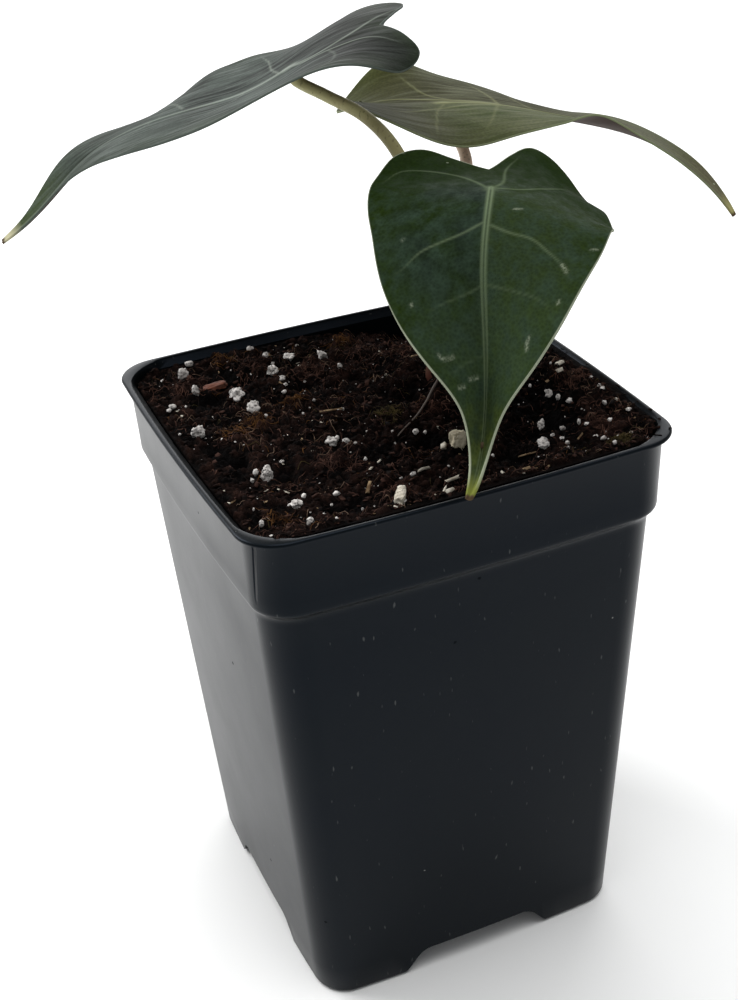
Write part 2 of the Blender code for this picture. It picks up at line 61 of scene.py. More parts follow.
def add_object(name, data):
    """An object that shows a mesh, a lamp, a camera or a curve in the scene."""
    added = bpy.data.objects.new(name, data)
    bpy.context.scene.collection.objects.link(added)
    return added


back = Vector((
    math.sin(VIEW_AZIMUTH) * math.cos(VIEW_HEIGHT),
    -math.cos(VIEW_AZIMUTH) * math.cos(VIEW_HEIGHT),
    math.sin(VIEW_HEIGHT),
))
level = Vector((math.cos(VIEW_AZIMUTH), math.sin(VIEW_AZIMUTH), 0.0))
upright = back.cross(level)
aside = level * math.cos(VIEW_ROLL) + upright * math.sin(VIEW_ROLL)
above = upright * math.cos(VIEW_ROLL) - level * math.sin(VIEW_ROLL)
lens = bpy.data.cameras.new("photograph")
lens.sensor_width = 36.0
lens.lens = 54.9
lens.clip_start = 0.01
camera = add_object("photograph", lens)
eye = (VIEW_TARGET + back * VIEW_DISTANCE) * MM + POT_CENTRE
camera.matrix_world = Matrix.Translation(eye) @ Matrix((aside, above, back)).transposed().to_4x4()
bpy.context.scene.camera = camera


# The floor and the light
# A matt, nearly white studio table. A wide lit backdrop stands behind the plant, one soft
# box is high behind on the left and a weaker one is overhead.


def linear(code):
    """Linear colour of an sRGB hex code."""
    parts = [int(code[i:i + 2], 16) / 255.0 for i in (1, 3, 5)]
    return tuple(c / 12.92 if c <= 0.04045 else ((c + 0.055) / 1.055) ** 2.4 for c in parts) + (1.0,)


def feed(node, key, value):
    """Set an input of a node, or link it to an output; a node stands for its first one."""
    socket = node.inputs[key.replace("_", " ") if isinstance(key, str) else key]
    if isinstance(value, bpy.types.Node):
        value = next(output for output in value.outputs if output.enabled)
    if isinstance(value, bpy.types.NodeSocket):
        node.id_data.links.new(value, socket)
    else:
        socket.default_value = linear(value) if isinstance(value, str) else value


def add_node(tree, kind, *inputs, **named):
    """A node whose inputs come in order, then by name; names in small letters are settings."""
    node = tree.nodes.new("ShaderNode" + kind)
    for key in [key for key in named if key.islower()]:
        setattr(node, key, named.pop(key))
    in_use = [k for k, socket in enumerate(node.inputs) if socket.enabled]
    for key, value in [*zip(in_use, inputs), *named.items()]:
        feed(node, key, value)
    return node


def new_finish(name, **values):
    """A material, its node tree, its shader with plain values set, and the place on the piece."""
    finish = bpy.data.materials.new(name)
    finish.use_nodes = True
    tree = finish.node_tree
    shader = tree.nodes["Principled BSDF"]
    for key, value in values.items():
        feed(shader, key, value)
    return finish, tree, shader, add_node(tree, "TexCoord").outputs["Object"]


paper, tree, shader, where = new_finish("matt_table", Roughness=0.9)
# Matt card, nearly white, with faint clouds of tone about 300 mm across.
cloudy = add_node(tree, "TexNoise", where, Scale=3.0, Detail=2.0)
pale = add_node(tree, "Mix", cloudy, "#f4f4f3", "#fbfbfa", data_type="RGBA")
feed(shader, "Base Color", pale)
bm = bmesh.new()
bmesh.ops.create_grid(bm, x_segments=4, y_segments=4, size=6.0)
table_mesh = bpy.data.meshes.new("table")
bm.to_mesh(table_mesh)
bm.free()
table_mesh.materials.append(paper)
table = add_object("table", table_mesh)

# Each lamp's place, what it points at, its width and height in metres and its watts.
for name, place, aim, wide, tall, watts in (
    ("backdrop", (0.60, 1.60, 0.90), (0.0, 0.0, 0.15), 2.2, 1.4, 20.0),
    ("box_left", (-0.90, 0.90, 1.00), (-0.10, 0.10, 0.0), 0.9, 0.9, 19.0),
    ("box_above", (0.10, -0.10, 1.25), (0.0, 0.0, 0.10), 1.0, 1.0, 11.0),
):
    lamp = bpy.data.lights.new(name, "AREA")
    lamp.shape = "RECTANGLE"
    lamp.size = wide
    lamp.size_y = tall
    lamp.energy = watts
    lamp_object = add_object(name, lamp)
    lamp_object.location = place
    lamp_object.rotation_euler = (Vector(aim) - Vector(place)).to_track_quat("-Z", "Y").to_euler()

surroundings = bpy.data.worlds.new("studio")
surroundings.use_nodes = True
feed(surroundings.node_tree.nodes["Background"], "Color", "#f2f4f6")
feed(surroundings.node_tree.nodes["Background"], "Strength", 0.44)
bpy.context.scene.world = surroundings
bpy.context.scene.view_settings.view_transform = "Standard"


# The pot
# A deep square nursery pot, injection moulded in thin black polypropylene. A lipped band
# stiffens the top, the floor is lifted over two crossing channels that leave a foot at
# each corner, and slots low in each side let water out.
RIM_WIDTH = 95.0
POT_HEIGHT = 129.0
RIM_LIP = 1.6
RIM_FLARE = 1.8
BAND_DEPTH = 15.3
SHOULDER_DEPTH = 20.2
BASE_WIDTH = 76.6
WALL = 1.2
CORNER = 9.0
SIDE_BOW = 0.8
CHANNEL_FOOT_WIDTH = 38.0
CHANNEL_ROOF_WIDTH = 28.0
CHANNEL_HEIGHT = 6.4
SLOT_WIDTH = 9.0


def settle(bm, name, *finishes):
    """Finish a mesh drawn in millimetres round the pot's middle as an object in metres."""
    bmesh.ops.scale(bm, vec=(MM, MM, MM), verts=bm.verts)
    bmesh.ops.translate(bm, vec=POT_CENTRE, verts=bm.verts)
    mesh = bpy.data.meshes.new(name)
    bm.to_mesh(mesh)
    bm.free()
    mesh.shade_smooth()
    for finish in finishes:
        mesh.materials.append(finish)
    return add_object(name, mesh)


def rounded_square(half, radius, bow, side_steps, corner_steps):
    """Points round a square whose corners are arcs and whose sides bow outward."""
    straight = half - radius
    points = []
    for turn in range(4):
        spin = Matrix.Rotation(math.radians(90.0 * turn), 2)
        for i in range(side_steps):
            along = -straight + 2.0 * straight * i / side_steps
            points.append(spin @ Vector((half + bow * (1.0 - (along / straight) ** 2), along)))
        for i in range(corner_steps):
            angle = math.radians(90.0 * i / corner_steps)
            corner = Vector((math.cos(angle), math.sin(angle))) * radius
            points.append(spin @ (Vector((straight, straight)) + corner))
    return points


def loft(sections, side_steps, corner_steps):
    """A closed body through rounded squares given as height, half width and radius."""
    bm = bmesh.new()
    loops = []
    for height, half, radius in sections:
        flat = rounded_square(half, radius, SIDE_BOW, side_steps, corner_steps)
        ring = [bm.verts.new((p.x, p.y, height)) for p in flat]
        loops.append([bm.edges.new((a, b)) for a, b in zip(ring, ring[1:] + ring[:1])])
    for lower, upper in zip(loops, loops[1:]):
        bmesh.ops.bridge_loops(bm, edges=lower + upper)
    bmesh.ops.contextual_create(bm, geom=loops[0])
    bmesh.ops.contextual_create(bm, geom=loops[-1])
    bmesh.ops.recalc_face_normals(bm, faces=bm.faces)
    return bm


def body_half(height):
    """Half width of the pot's outside below the shoulder."""
    top = RIM_WIDTH / 2.0 - 3.3
    return BASE_WIDTH / 2.0 + (top - BASE_WIDTH / 2.0) * height / (POT_HEIGHT - SHOULDER_DEPTH)


rim = RIM_WIDTH / 2.0
shoulder = POT_HEIGHT - SHOULDER_DEPTH
lip_foot = POT_HEIGHT - 0.95
# The pot's profile, up the outside and down the inside: height, half width and radius of
# the corners. Near the top each is given as its distance from a level, the rim and CORNER.
profile = [
    (0.0, body_half(0.0) - 1.3, CORNER - 2.0), (0.15, body_half(0.0) - 0.7, CORNER - 1.4),
    (0.55, body_half(0.0) - 0.2, CORNER - 1.0), (1.2, body_half(1.2), CORNER - 0.8),
]
for height in np.linspace(8.0, shoulder - 0.6, 12):
    profile.append((height, body_half(height), CORNER - 0.8 + 0.8 * height / shoulder))
for level, steps in (
    (shoulder, (
        (0.0, -3.25, 0.0), (0.5, -3.18, -0.1), (0.9, -3.05, -0.15), (1.25, -2.88, -0.2),
        (1.6, -2.67, -0.2), (1.9, -2.42, -0.25), (2.2, -2.19, -0.3), (2.6, -2.05, -0.35),
        (3.2, -1.99, -0.4), (5.6, -1.97, -0.5),
    )),
    (lip_foot, (
        (-0.7, -1.6, -0.5), (-0.15, -1.35, -0.4), (0.0, -0.4, 0.1), (0.15, -0.08, 0.25),
        (0.35, 0.0, 0.3),
    )),
    (POT_HEIGHT, (
        (-0.35, -0.03, 0.3), (-0.1, -0.2, 0.2), (0.0, -0.45, 0.0),
        (0.0, -0.85, 3.4), (-0.12, -1.1, 3.9), (-0.5, -1.5, 2.9),
    )),
):
    profile += [(level + up, rim + out, CORNER + rounder) for up, out, rounder in steps]
profile += [
    (POT_HEIGHT - RIM_FLARE, rim - RIM_LIP - WALL, CORNER - 1.0),
    (POT_HEIGHT - BAND_DEPTH, rim - 2.0 - WALL, CORNER - 1.0),
    (shoulder, body_half(shoulder) - WALL, CORNER - 0.6),
    (WALL, body_half(WALL) - WALL, CORNER - 1.0),
]

moulded, tree, shader, where = new_finish(
    "moulded_polypropylene", Roughness=0.30, IOR=1.212, Specular_Tint="#c6dbfb")
# Black pigmented polypropylene with a satin skin: nearly black from the front and silvery
# at a glancing angle. Handling leaves hazy patches about 20 mm across, a few short
# scratches, pale specks of dust and dark specks of dried mix, all under 1 mm.
haze = add_node(tree, "TexNoise", where, Scale=45.0, Detail=4.0, Roughness=0.6)
tone = add_node(tree, "Mix", haze, "#03060a", "#0a0d0c", data_type="RGBA")
ragged = add_node(tree, "TexNoise", where, Scale=900.0, Detail=2.0)
pushed = add_node(
    tree, "VectorMath", ragged.outputs["Color"], (0.0007, 0.0007, 0.0007), operation="MULTIPLY")
broken = add_node(tree, "VectorMath", where, pushed, operation="ADD")
cells = add_node(tree, "TexVoronoi", broken, Scale=150.0, Randomness=1.0)
rare = add_node(tree, "SeparateColor", cells.outputs["Color"])
dust_chosen = add_node(tree, "MapRange", rare.outputs["Red"], 0.86, 0.89)
dust_dot = add_node(tree, "MapRange", cells, 0.038, 0.024)
dust = add_node(tree, "Math", dust_chosen, dust_dot, operation="MULTIPLY")
mix_chosen = add_node(tree, "MapRange", rare.outputs["Green"], 0.80, 0.84)
mix_dot = add_node(tree, "MapRange", cells, 0.07, 0.05)
dried = add_node(tree, "Math", mix_chosen, mix_dot, operation="MULTIPLY")
drawn = add_node(tree, "Mapping", where, Rotation=(0.5, 0.3, 0.2), Scale=(1500.0, 1500.0, 420.0))
streak = add_node(tree, "TexNoise", drawn, Scale=1.0, Detail=0.0)
scratch = add_node(tree, "MapRange", streak, 0.815, 0.90, To_Max=0.26)
marks = add_node(tree, "Math", dust, scratch, operation="MAXIMUM")
dusty = add_node(tree, "Mix", marks, tone, "#7d7f7c", data_type="RGBA")
feed(shader, "Base Color", dusty)
gloss = add_node(tree, "MapRange", haze, To_Min=0.25, To_Max=0.36)
matt = add_node(tree, "Math", dried, gloss, operation="MAXIMUM")
feed(shader, "Roughness", matt)
grain = add_node(tree, "TexNoise", where, Scale=1600.0, Detail=2.0)
relief = add_node(tree, "Bump", Height=grain, Strength=0.05, Distance=0.0002)
# A fold line runs down the band's front left corner, where the plastic was once pressed in.
spot = add_node(tree, "SeparateXYZ", where)
high = spot.outputs["Z"]
fold_y = add_node(tree, "MapRange", high, 0.1145, 0.1260, POT_CENTRE.y - 0.0402, POT_CENTRE.y - 0.0417)
aside_fold = add_node(tree, "Math", spot.outputs["Y"], fold_y, operation="SUBTRACT")
off_fold = add_node(tree, "Math", aside_fold, operation="ABSOLUTE")
groove = add_node(tree, "MapRange", off_fold, 0.0005, 0.0, interpolation_type="SMOOTHSTEP")
for part, start, full in (
    (high, 0.1130, 0.1230), (high, 0.1275, 0.1265),
    (spot.outputs["X"], POT_CENTRE.x - 0.040, POT_CENTRE.x - 0.042),
):
    window = add_node(tree, "MapRange", part, start, full)
    groove = add_node(tree, "Math", groove, window, operation="MULTIPLY")
folded = add_node(
    tree, "Bump", Height=groove, Strength=1.0, Distance=0.0005, Normal=relief, invert=True)
feed(shader, "Normal", folded)

pot = settle(loft(profile, side_steps=14, corner_steps=12), "nursery_pot", moulded)


def upright_turn(degrees):
    """A turn about the upright axis."""
    return Matrix.Rotation(math.radians(degrees), 3, "Z")


def bevel(bm, edges, offset, segments, clamp=False):
    """Round some edges of a mesh."""
    bmesh.ops.bevel(bm, geom=edges, offset=offset, segments=segments, profile=0.5,
                    affect="EDGES", material=-1, clamp_overlap=clamp)


def channel_bars(grow, reach, base):
    """Two crossing bars with sloped sides, as large as the channels plus a margin."""
    narrowing = (CHANNEL_FOOT_WIDTH - CHANNEL_ROOF_WIDTH) / 2.0 / CHANNEL_HEIGHT
    sideways = grow * math.hypot(1.0, narrowing)
    top = CHANNEL_HEIGHT + grow
    foot = CHANNEL_FOOT_WIDTH / 2.0 - narrowing * base + sideways
    roof = CHANNEL_FOOT_WIDTH / 2.0 - narrowing * top + sideways
    for turn in range(2):
        bm = bmesh.new()
        ends = ((-foot, base), (foot, base), (roof, top), (-roof, top))
        face = bm.faces.new([bm.verts.new((x, -reach, z)) for x, z in ends])
        swept = bmesh.ops.extrude_face_region(bm, geom=[face])["geom"]
        far_end = [part for part in swept if isinstance(part, bmesh.types.BMVert)]
        bmesh.ops.translate(bm, vec=(0.0, 2.0 * reach, 0.0), verts=far_end)
        bmesh.ops.rotate(bm, matrix=upright_turn(90.0 * turn), verts=bm.verts)
        bmesh.ops.recalc_face_normals(bm, faces=bm.faces)
        roof_edges = []
        for edge in bm.edges:
            low, high = sorted(vertex.co.z for vertex in edge.verts)
            if high - low < 0.1 and low > 3.0 and edge.calc_length() > 40.0:
                roof_edges.append(edge)
        bevel(bm, roof_edges, 2.0, 4)
        yield settle(bm, "channel_bar")


def slot_cutters():
    """Two drainage slots in each channel's roof, just inside the pot's wall."""
    for turn in range(4):
        for side in (-1, 1):
            bm = bmesh.new()
            bmesh.ops.create_cube(bm, size=1.0)
            bmesh.ops.scale(bm, vec=(SLOT_WIDTH, 8.0, 3.6), verts=bm.verts)
            place = (side * 0.62 * SLOT_WIDTH, 6.5 - BASE_WIDTH / 2.0, CHANNEL_HEIGHT + 0.6)
            bmesh.ops.translate(bm, vec=place, verts=bm.verts)
            bevel(bm, bm.edges[:], 0.6, 2)
            bmesh.ops.rotate(bm, matrix=upright_turn(90.0 * turn), verts=bm.verts)
            yield settle(bm, "slot_cutter")


def carve(target, operation, tools):
    """Join or cut the tools into the target's own mesh, then remove them."""
    tools = list(tools)
    for tool in tools:
        change = target.modifiers.new("carve", "BOOLEAN")
        change.operation = operation
        change.solver = "EXACT"
        change.object = tool
    bpy.context.view_layer.update()
    seen = target.evaluated_get(bpy.context.evaluated_depsgraph_get())
    mesh = bpy.data.meshes.new_from_object(seen)
    target.modifiers.clear()
    target.data = mesh
    for tool in tools:
        bpy.data.objects.remove(tool, do_unlink=True)


carve(pot, "UNION", channel_bars(WALL, BASE_WIDTH / 2.0 - 0.6, 0.4))
carve(pot, "DIFFERENCE", channel_bars(0.0, BASE_WIDTH, -2.0))
carve(pot, "DIFFERENCE", slot_cutters())
pot.data.materials.clear()
pot.data.materials.append(moulded)
pot.data.shade_smooth()
pot.data.set_sharp_from_angle(angle=math.radians(38.0))
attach(pot, "root")
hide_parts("pot")


# The potting mix
# A damp blend of peat, coir and fine bark that fills the pot nearly to the rim. It is one
# body here; its top is a fine grid heaped into lumps and crumbs, its sides follow the pot.
SOIL_BELOW_RIM = 1.9
SOIL_DISH = 1.4
STEM = (20.0, 9.0)
GAP = 0.3
# A hollow at the back, the side heaped up and the rise round the stem: height, place
# across and along, and spread.
SWELLS = ((-6.0, 30.0, 46.0, 17.0), (2.4, 45.0, -16.0, 15.0), (1.2, *STEM, 11.0))
# Places across and along, in millimetres: hollows with their reach and depth, which the painted shade
# on the soil turns black, and mats of teased fibre with their reach and tint.
HOLLOWS = (
    (30.5, -17.0, 5.0, 2.6), (30.0, -24.5, 4.2, 2.4), (22.5, -25.5, 4.0, 2.2),
    (15.5, -35.0, 3.6, 2.0), (33.5, -9.0, 4.5, 2.2), (3.5, -18.0, 4.0, 1.8), (8.0, 3.5, 4.0, 2.0),
    (-22.9, 30.5, 3.4, 2.2), (-30.3, 23.1, 3.2, 2.2), (-36.2, -6.7, 3.0, 1.8),
    (-38.8, -1.0, 2.4, 1.6), (-9.7, 23.0, 3.0, 1.6), (-24.5, -35.4, 2.6, 1.6),
    (-20.0, -36.1, 2.6, 1.6), (-17.7, 17.5, 2.4, 1.4),
)
MATS = (
    (-22.7, 41.5, 2.3, "ochre"), (-15.2, 15.2, 2.2, "ochre"), (-25.8, 7.7, 2.8, "ochre"),
    (-31.2, 4.6, 2.0, "ochre"), (6.3, 37.8, 2.4, "ochre"), (0.8, -1.7, 2.6, "moss"),
    (-36.7, -35.5, 1.4, "ochre"), (35.6, -40.2, 2.3, "moss"), (8.0, 33.0, 5.0, "red"),
    (-5.0, 27.0, 4.5, "red"), (-18.0, 35.0, 4.5, "red"), (17.0, 29.0, 4.0, "red"),
    (-34.0, 33.0, 4.0, "red"), (-17.6, -17.8, 3.4, "red"), (41.5, -12.0, 3.8, "red"),
    (10.2, -3.2, 3.4, "red"), (-13.3, -37.2, 3.0, "red"), (36.0, -31.0, 3.6, "red"),
)

draw = np.random.default_rng(11)
noise.seed_set(11)
lump_place = draw.uniform(-45.0, 45.0, (170, 2))
lump_reach = draw.uniform(2.2, 6.0, 170)
lump_lift = draw.uniform(-1.1, 1.5, 170) * (lump_reach / 6.0) ** 0.5


def soil_height(x, y):
    """Height of the soil: a shallow dish with a hollow at the back and one heaped side."""
    x, y = np.asarray(x, float), np.asarray(y, float)
    edge = np.maximum(abs(x), abs(y)) / 44.0
    level = POT_HEIGHT - SOIL_BELOW_RIM - SOIL_DISH * np.maximum(0.0, 1.0 - edge ** 2)
    for height, across, along, spread in SWELLS:
        level = level + height * np.exp(-((x - across) ** 2 + (y - along) ** 2) / spread ** 2)
    lumps = np.zeros_like(level)
    for (px, py), reach, lift in zip(lump_place, lump_reach, lump_lift):
        lumps = lumps + lift * np.exp(-((x - px) ** 2 + (y - py) ** 2) / (reach * 0.6) ** 2)
    return level + lumps * np.clip((1.0 - edge) * 6.0, 0.3, 1.0)


def ground(x, y):
    """The soil, drawn up against the front and the right wall as it was when potted."""
    level = soil_height(x, y)
    towards_wall = np.maximum(np.asarray(x, float), -np.asarray(y, float))
    near_wall = np.clip((towards_wall - 38.0) / 5.0, 0.0, 1.0)
    return level + np.clip(POT_HEIGHT - 0.3 - level, 0.0, 1.4) * near_wall ** 1.5


def crumbs_at(x, y):
    """Clumps with hollows between them, and crumbs on the clumps, down to half a millimetre."""
    spot = Vector((x, y, 3.0))
    rough = noise.fractal(spot * 0.30, 0.9, 2.1, 5) * 0.75
    for scale, height in ((0.26, 1.10), (0.60, 0.75), (1.30, 0.40)):
        near = noise.voronoi(spot * scale + noise.noise_vector(spot * 0.5) * 0.35)[0]
        rough += height * (min(1.0, (near[1] - near[0]) * 2.2) ** 0.7 - 0.55)
    for across, along, reach, depth in HOLLOWS:
        rough -= depth * math.exp(-((x - across) ** 2 + (y - along) ** 2) / reach ** 2)
    for across, along, reach, _ in MATS:
        rough += 0.9 * math.exp(-((x - across) ** 2 + (y - along) ** 2) / reach ** 2)
    return rough


def in_pot(across, along, half, radius):
    """Spread a square of places (-1 to 1) over the pot's rounded, slightly bowed square."""
    x, y = across * half, along * half
    inner = half - radius
    over_x, over_y = abs(x) - inner, abs(y) - inner
    corner = (over_x > 0.0) & (over_y > 0.0)
    slant = np.maximum(np.hypot(over_x, over_y), 1e-6)
    pull = np.where(corner, np.maximum(over_x, over_y) / slant, 1.0)
    x = np.where(corner, np.sign(x) * (inner + over_x * pull), x)
    y = np.where(corner, np.sign(y) * (inner + over_y * pull), y)
    bow_x = SIDE_BOW * np.clip(1.0 - (y / inner) ** 2, 0.0, 1.0) * across
    bow_y = SIDE_BOW * np.clip(1.0 - (x / inner) ** 2, 0.0, 1.0) * along
    return x + bow_x, y + bow_y


damp, tree, shader, where = new_finish("damp_potting_mix", Roughness=0.95, IOR=1.12)
# Peat and bark fines, red-brown with tan flecks about 0.4 mm across. Painted shade makes the mix black
# in the hollows between the clumps and next to the wall; the red-brown and the flecks show only on the
# clumps' lit tops.
raised = add_node(tree, "Attribute", attribute_name="raised").outputs["Fac"]
patches = add_node(tree, "TexNoise", where, Scale=170.0, Detail=6.0, Roughness=0.7)
warm = add_node(tree, "MapRange", patches, 0.42, 0.66)
lit_warm_tops = add_node(tree, "Math", warm, raised, operation="MULTIPLY")
browns = add_node(tree, "Mix", lit_warm_tops, "#040303", "#2e1e19", data_type="RGBA")
flecks = add_node(tree, "TexNoise", where, Scale=1300.0, Detail=3.0, Roughness=0.7)
fleck = add_node(tree, "MapRange", flecks, 0.60, 0.74, To_Max=0.5)
scattered = add_node(tree, "Math", fleck, raised, operation="MULTIPLY")
mottled = add_node(tree, "Mix", scattered, browns, "#54382a", data_type="RGBA")
feed(shader, "Base Color", mottled)
crumbly = add_node(tree, "Bump", Height=flecks, Strength=0.9, Distance=0.0008)
feed(shader, "Normal", crumbly)

# The ground is read many times below, so its height is kept on a map of 0.4 mm steps.
MAP_STEPS = 231
MAP_HALF = 46.0
map_line = np.linspace(-MAP_HALF, MAP_HALF, MAP_STEPS)
map_x, map_y = np.meshgrid(map_line, map_line, indexing="ij")
ground_map = ground(map_x, map_y)
crumb_map = np.array([[crumbs_at(x, y) for y in map_line] for x in map_line])


def read_map(heights, x, y):
    """The map's height at a place, between its nearest four steps."""
    across, along = (
        np.clip((np.asarray(place, float) + MAP_HALF) / (2.0 * MAP_HALF) * (MAP_STEPS - 1),
                0.0, MAP_STEPS - 1.001)
        for place in (x, y)
    )
    i, j = across.astype(int), along.astype(int)
    a, b = across - i, along - j
    low = heights[i, j] * (1.0 - a) + heights[i + 1, j] * a
    high = heights[i, j + 1] * (1.0 - a) + heights[i + 1, j + 1] * a
    return low * (1.0 - b) + high * b


def calm_edge(x, y):
    """Crumbs die out towards the pot's wall, so that none pokes through it."""
    return np.clip((45.3 - np.maximum(abs(np.asarray(x)), abs(np.asarray(y)))) / 1.3, 0.0, 1.0)


def top_of_soil(x, y):
    """Height of the soil with its crumbs."""
    return float(read_map(ground_map, x, y) + read_map(crumb_map, x, y) * calm_edge(x, y))


SOIL_STEPS = 262
wall_half = rim - 2.0 - WALL - GAP
flare_foot = POT_HEIGHT - RIM_FLARE
bm = bmesh.new()
bmesh.ops.create_grid(bm, x_segments=SOIL_STEPS, y_segments=SOIL_STEPS, size=1.0)
square = np.array([v.co[:2] for v in bm.verts])
low_x, low_y = in_pot(square[:, 0], square[:, 1], wall_half + 0.15, CORNER - 1.0 - GAP)
high_x, high_y = in_pot(square[:, 0], square[:, 1], rim - 0.1 - WALL - GAP - 0.1, CORNER + 4.0 - GAP)
climb = np.clip((ground(low_x, low_y) - flare_foot) / RIM_FLARE, 0.0, 1.0)
climb = climb * np.maximum(abs(square[:, 0]), abs(square[:, 1])) ** 4
soil_x, soil_y = low_x + (high_x - low_x) * climb, low_y + (high_y - low_y) * climb
soil_z = ground(soil_x, soil_y)
crumb_z = np.array([crumbs_at(x, y) for x, y in zip(soil_x, soil_y)]) * calm_edge(soil_x, soil_y)
# Painted light: the share kept in the 'raised' layer is low in the hollows between the crumbs and next
# to the wall, where the mix is painted black as shade.
painted_light_layer = bm.verts.layers.float.new("raised")
lit = np.clip(0.45 + 0.6 * crumb_z, 0.0, 1.0) * (0.2 + 0.8 * calm_edge(soil_x, soil_y))
for vertex, x, y, z, share in zip(bm.verts, soil_x, soil_y, soil_z + crumb_z, lit):
    vertex.co = (x, y, z)
    vertex[painted_light_layer] = float(share)
bm.verts.index_update()


def draw_down(bm, outline):
    """Extrude an open outline: the new outline and its corners, still in the old places."""
    new = bmesh.ops.extrude_edge_only(bm, edges=outline)["geom"]
    edges = [part for part in new if isinstance(part, bmesh.types.BMEdge) and part.is_boundary]
    return edges, [part for part in new if isinstance(part, bmesh.types.BMVert)]


outline = [edge for edge in bm.edges if edge.is_boundary]
foot_of = {}
for vertex in {vertex for edge in outline for vertex in edge.verts}:
    i = vertex.index
    foot_of[vertex.co.to_tuple(4)] = (low_x[i], low_y[i], min(soil_z[i], flare_foot) - 0.4)
outline, corners = draw_down(bm, outline)
for vertex in corners:
    vertex.co = foot_of[vertex.co.to_tuple(4)]
SOIL_FLOOR = 8.4
for height, half in (
    (POT_HEIGHT - BAND_DEPTH, wall_half),
    (shoulder, body_half(shoulder) - WALL - GAP),
    (SOIL_FLOOR, body_half(SOIL_FLOOR) - WALL - GAP),
):
    outline, corners = draw_down(bm, outline)
    reach = max(abs(vertex.co.x) for vertex in corners) - SIDE_BOW
    for vertex in corners:
        vertex.co = (vertex.co.x * half / reach, vertex.co.y * half / reach, height)
bmesh.ops.contextual_create(bm, geom=outline)
bmesh.ops.recalc_face_normals(bm, faces=bm.faces)
soil = settle(bm, "potting_mix", damp)
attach(soil, "root")
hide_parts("soil")


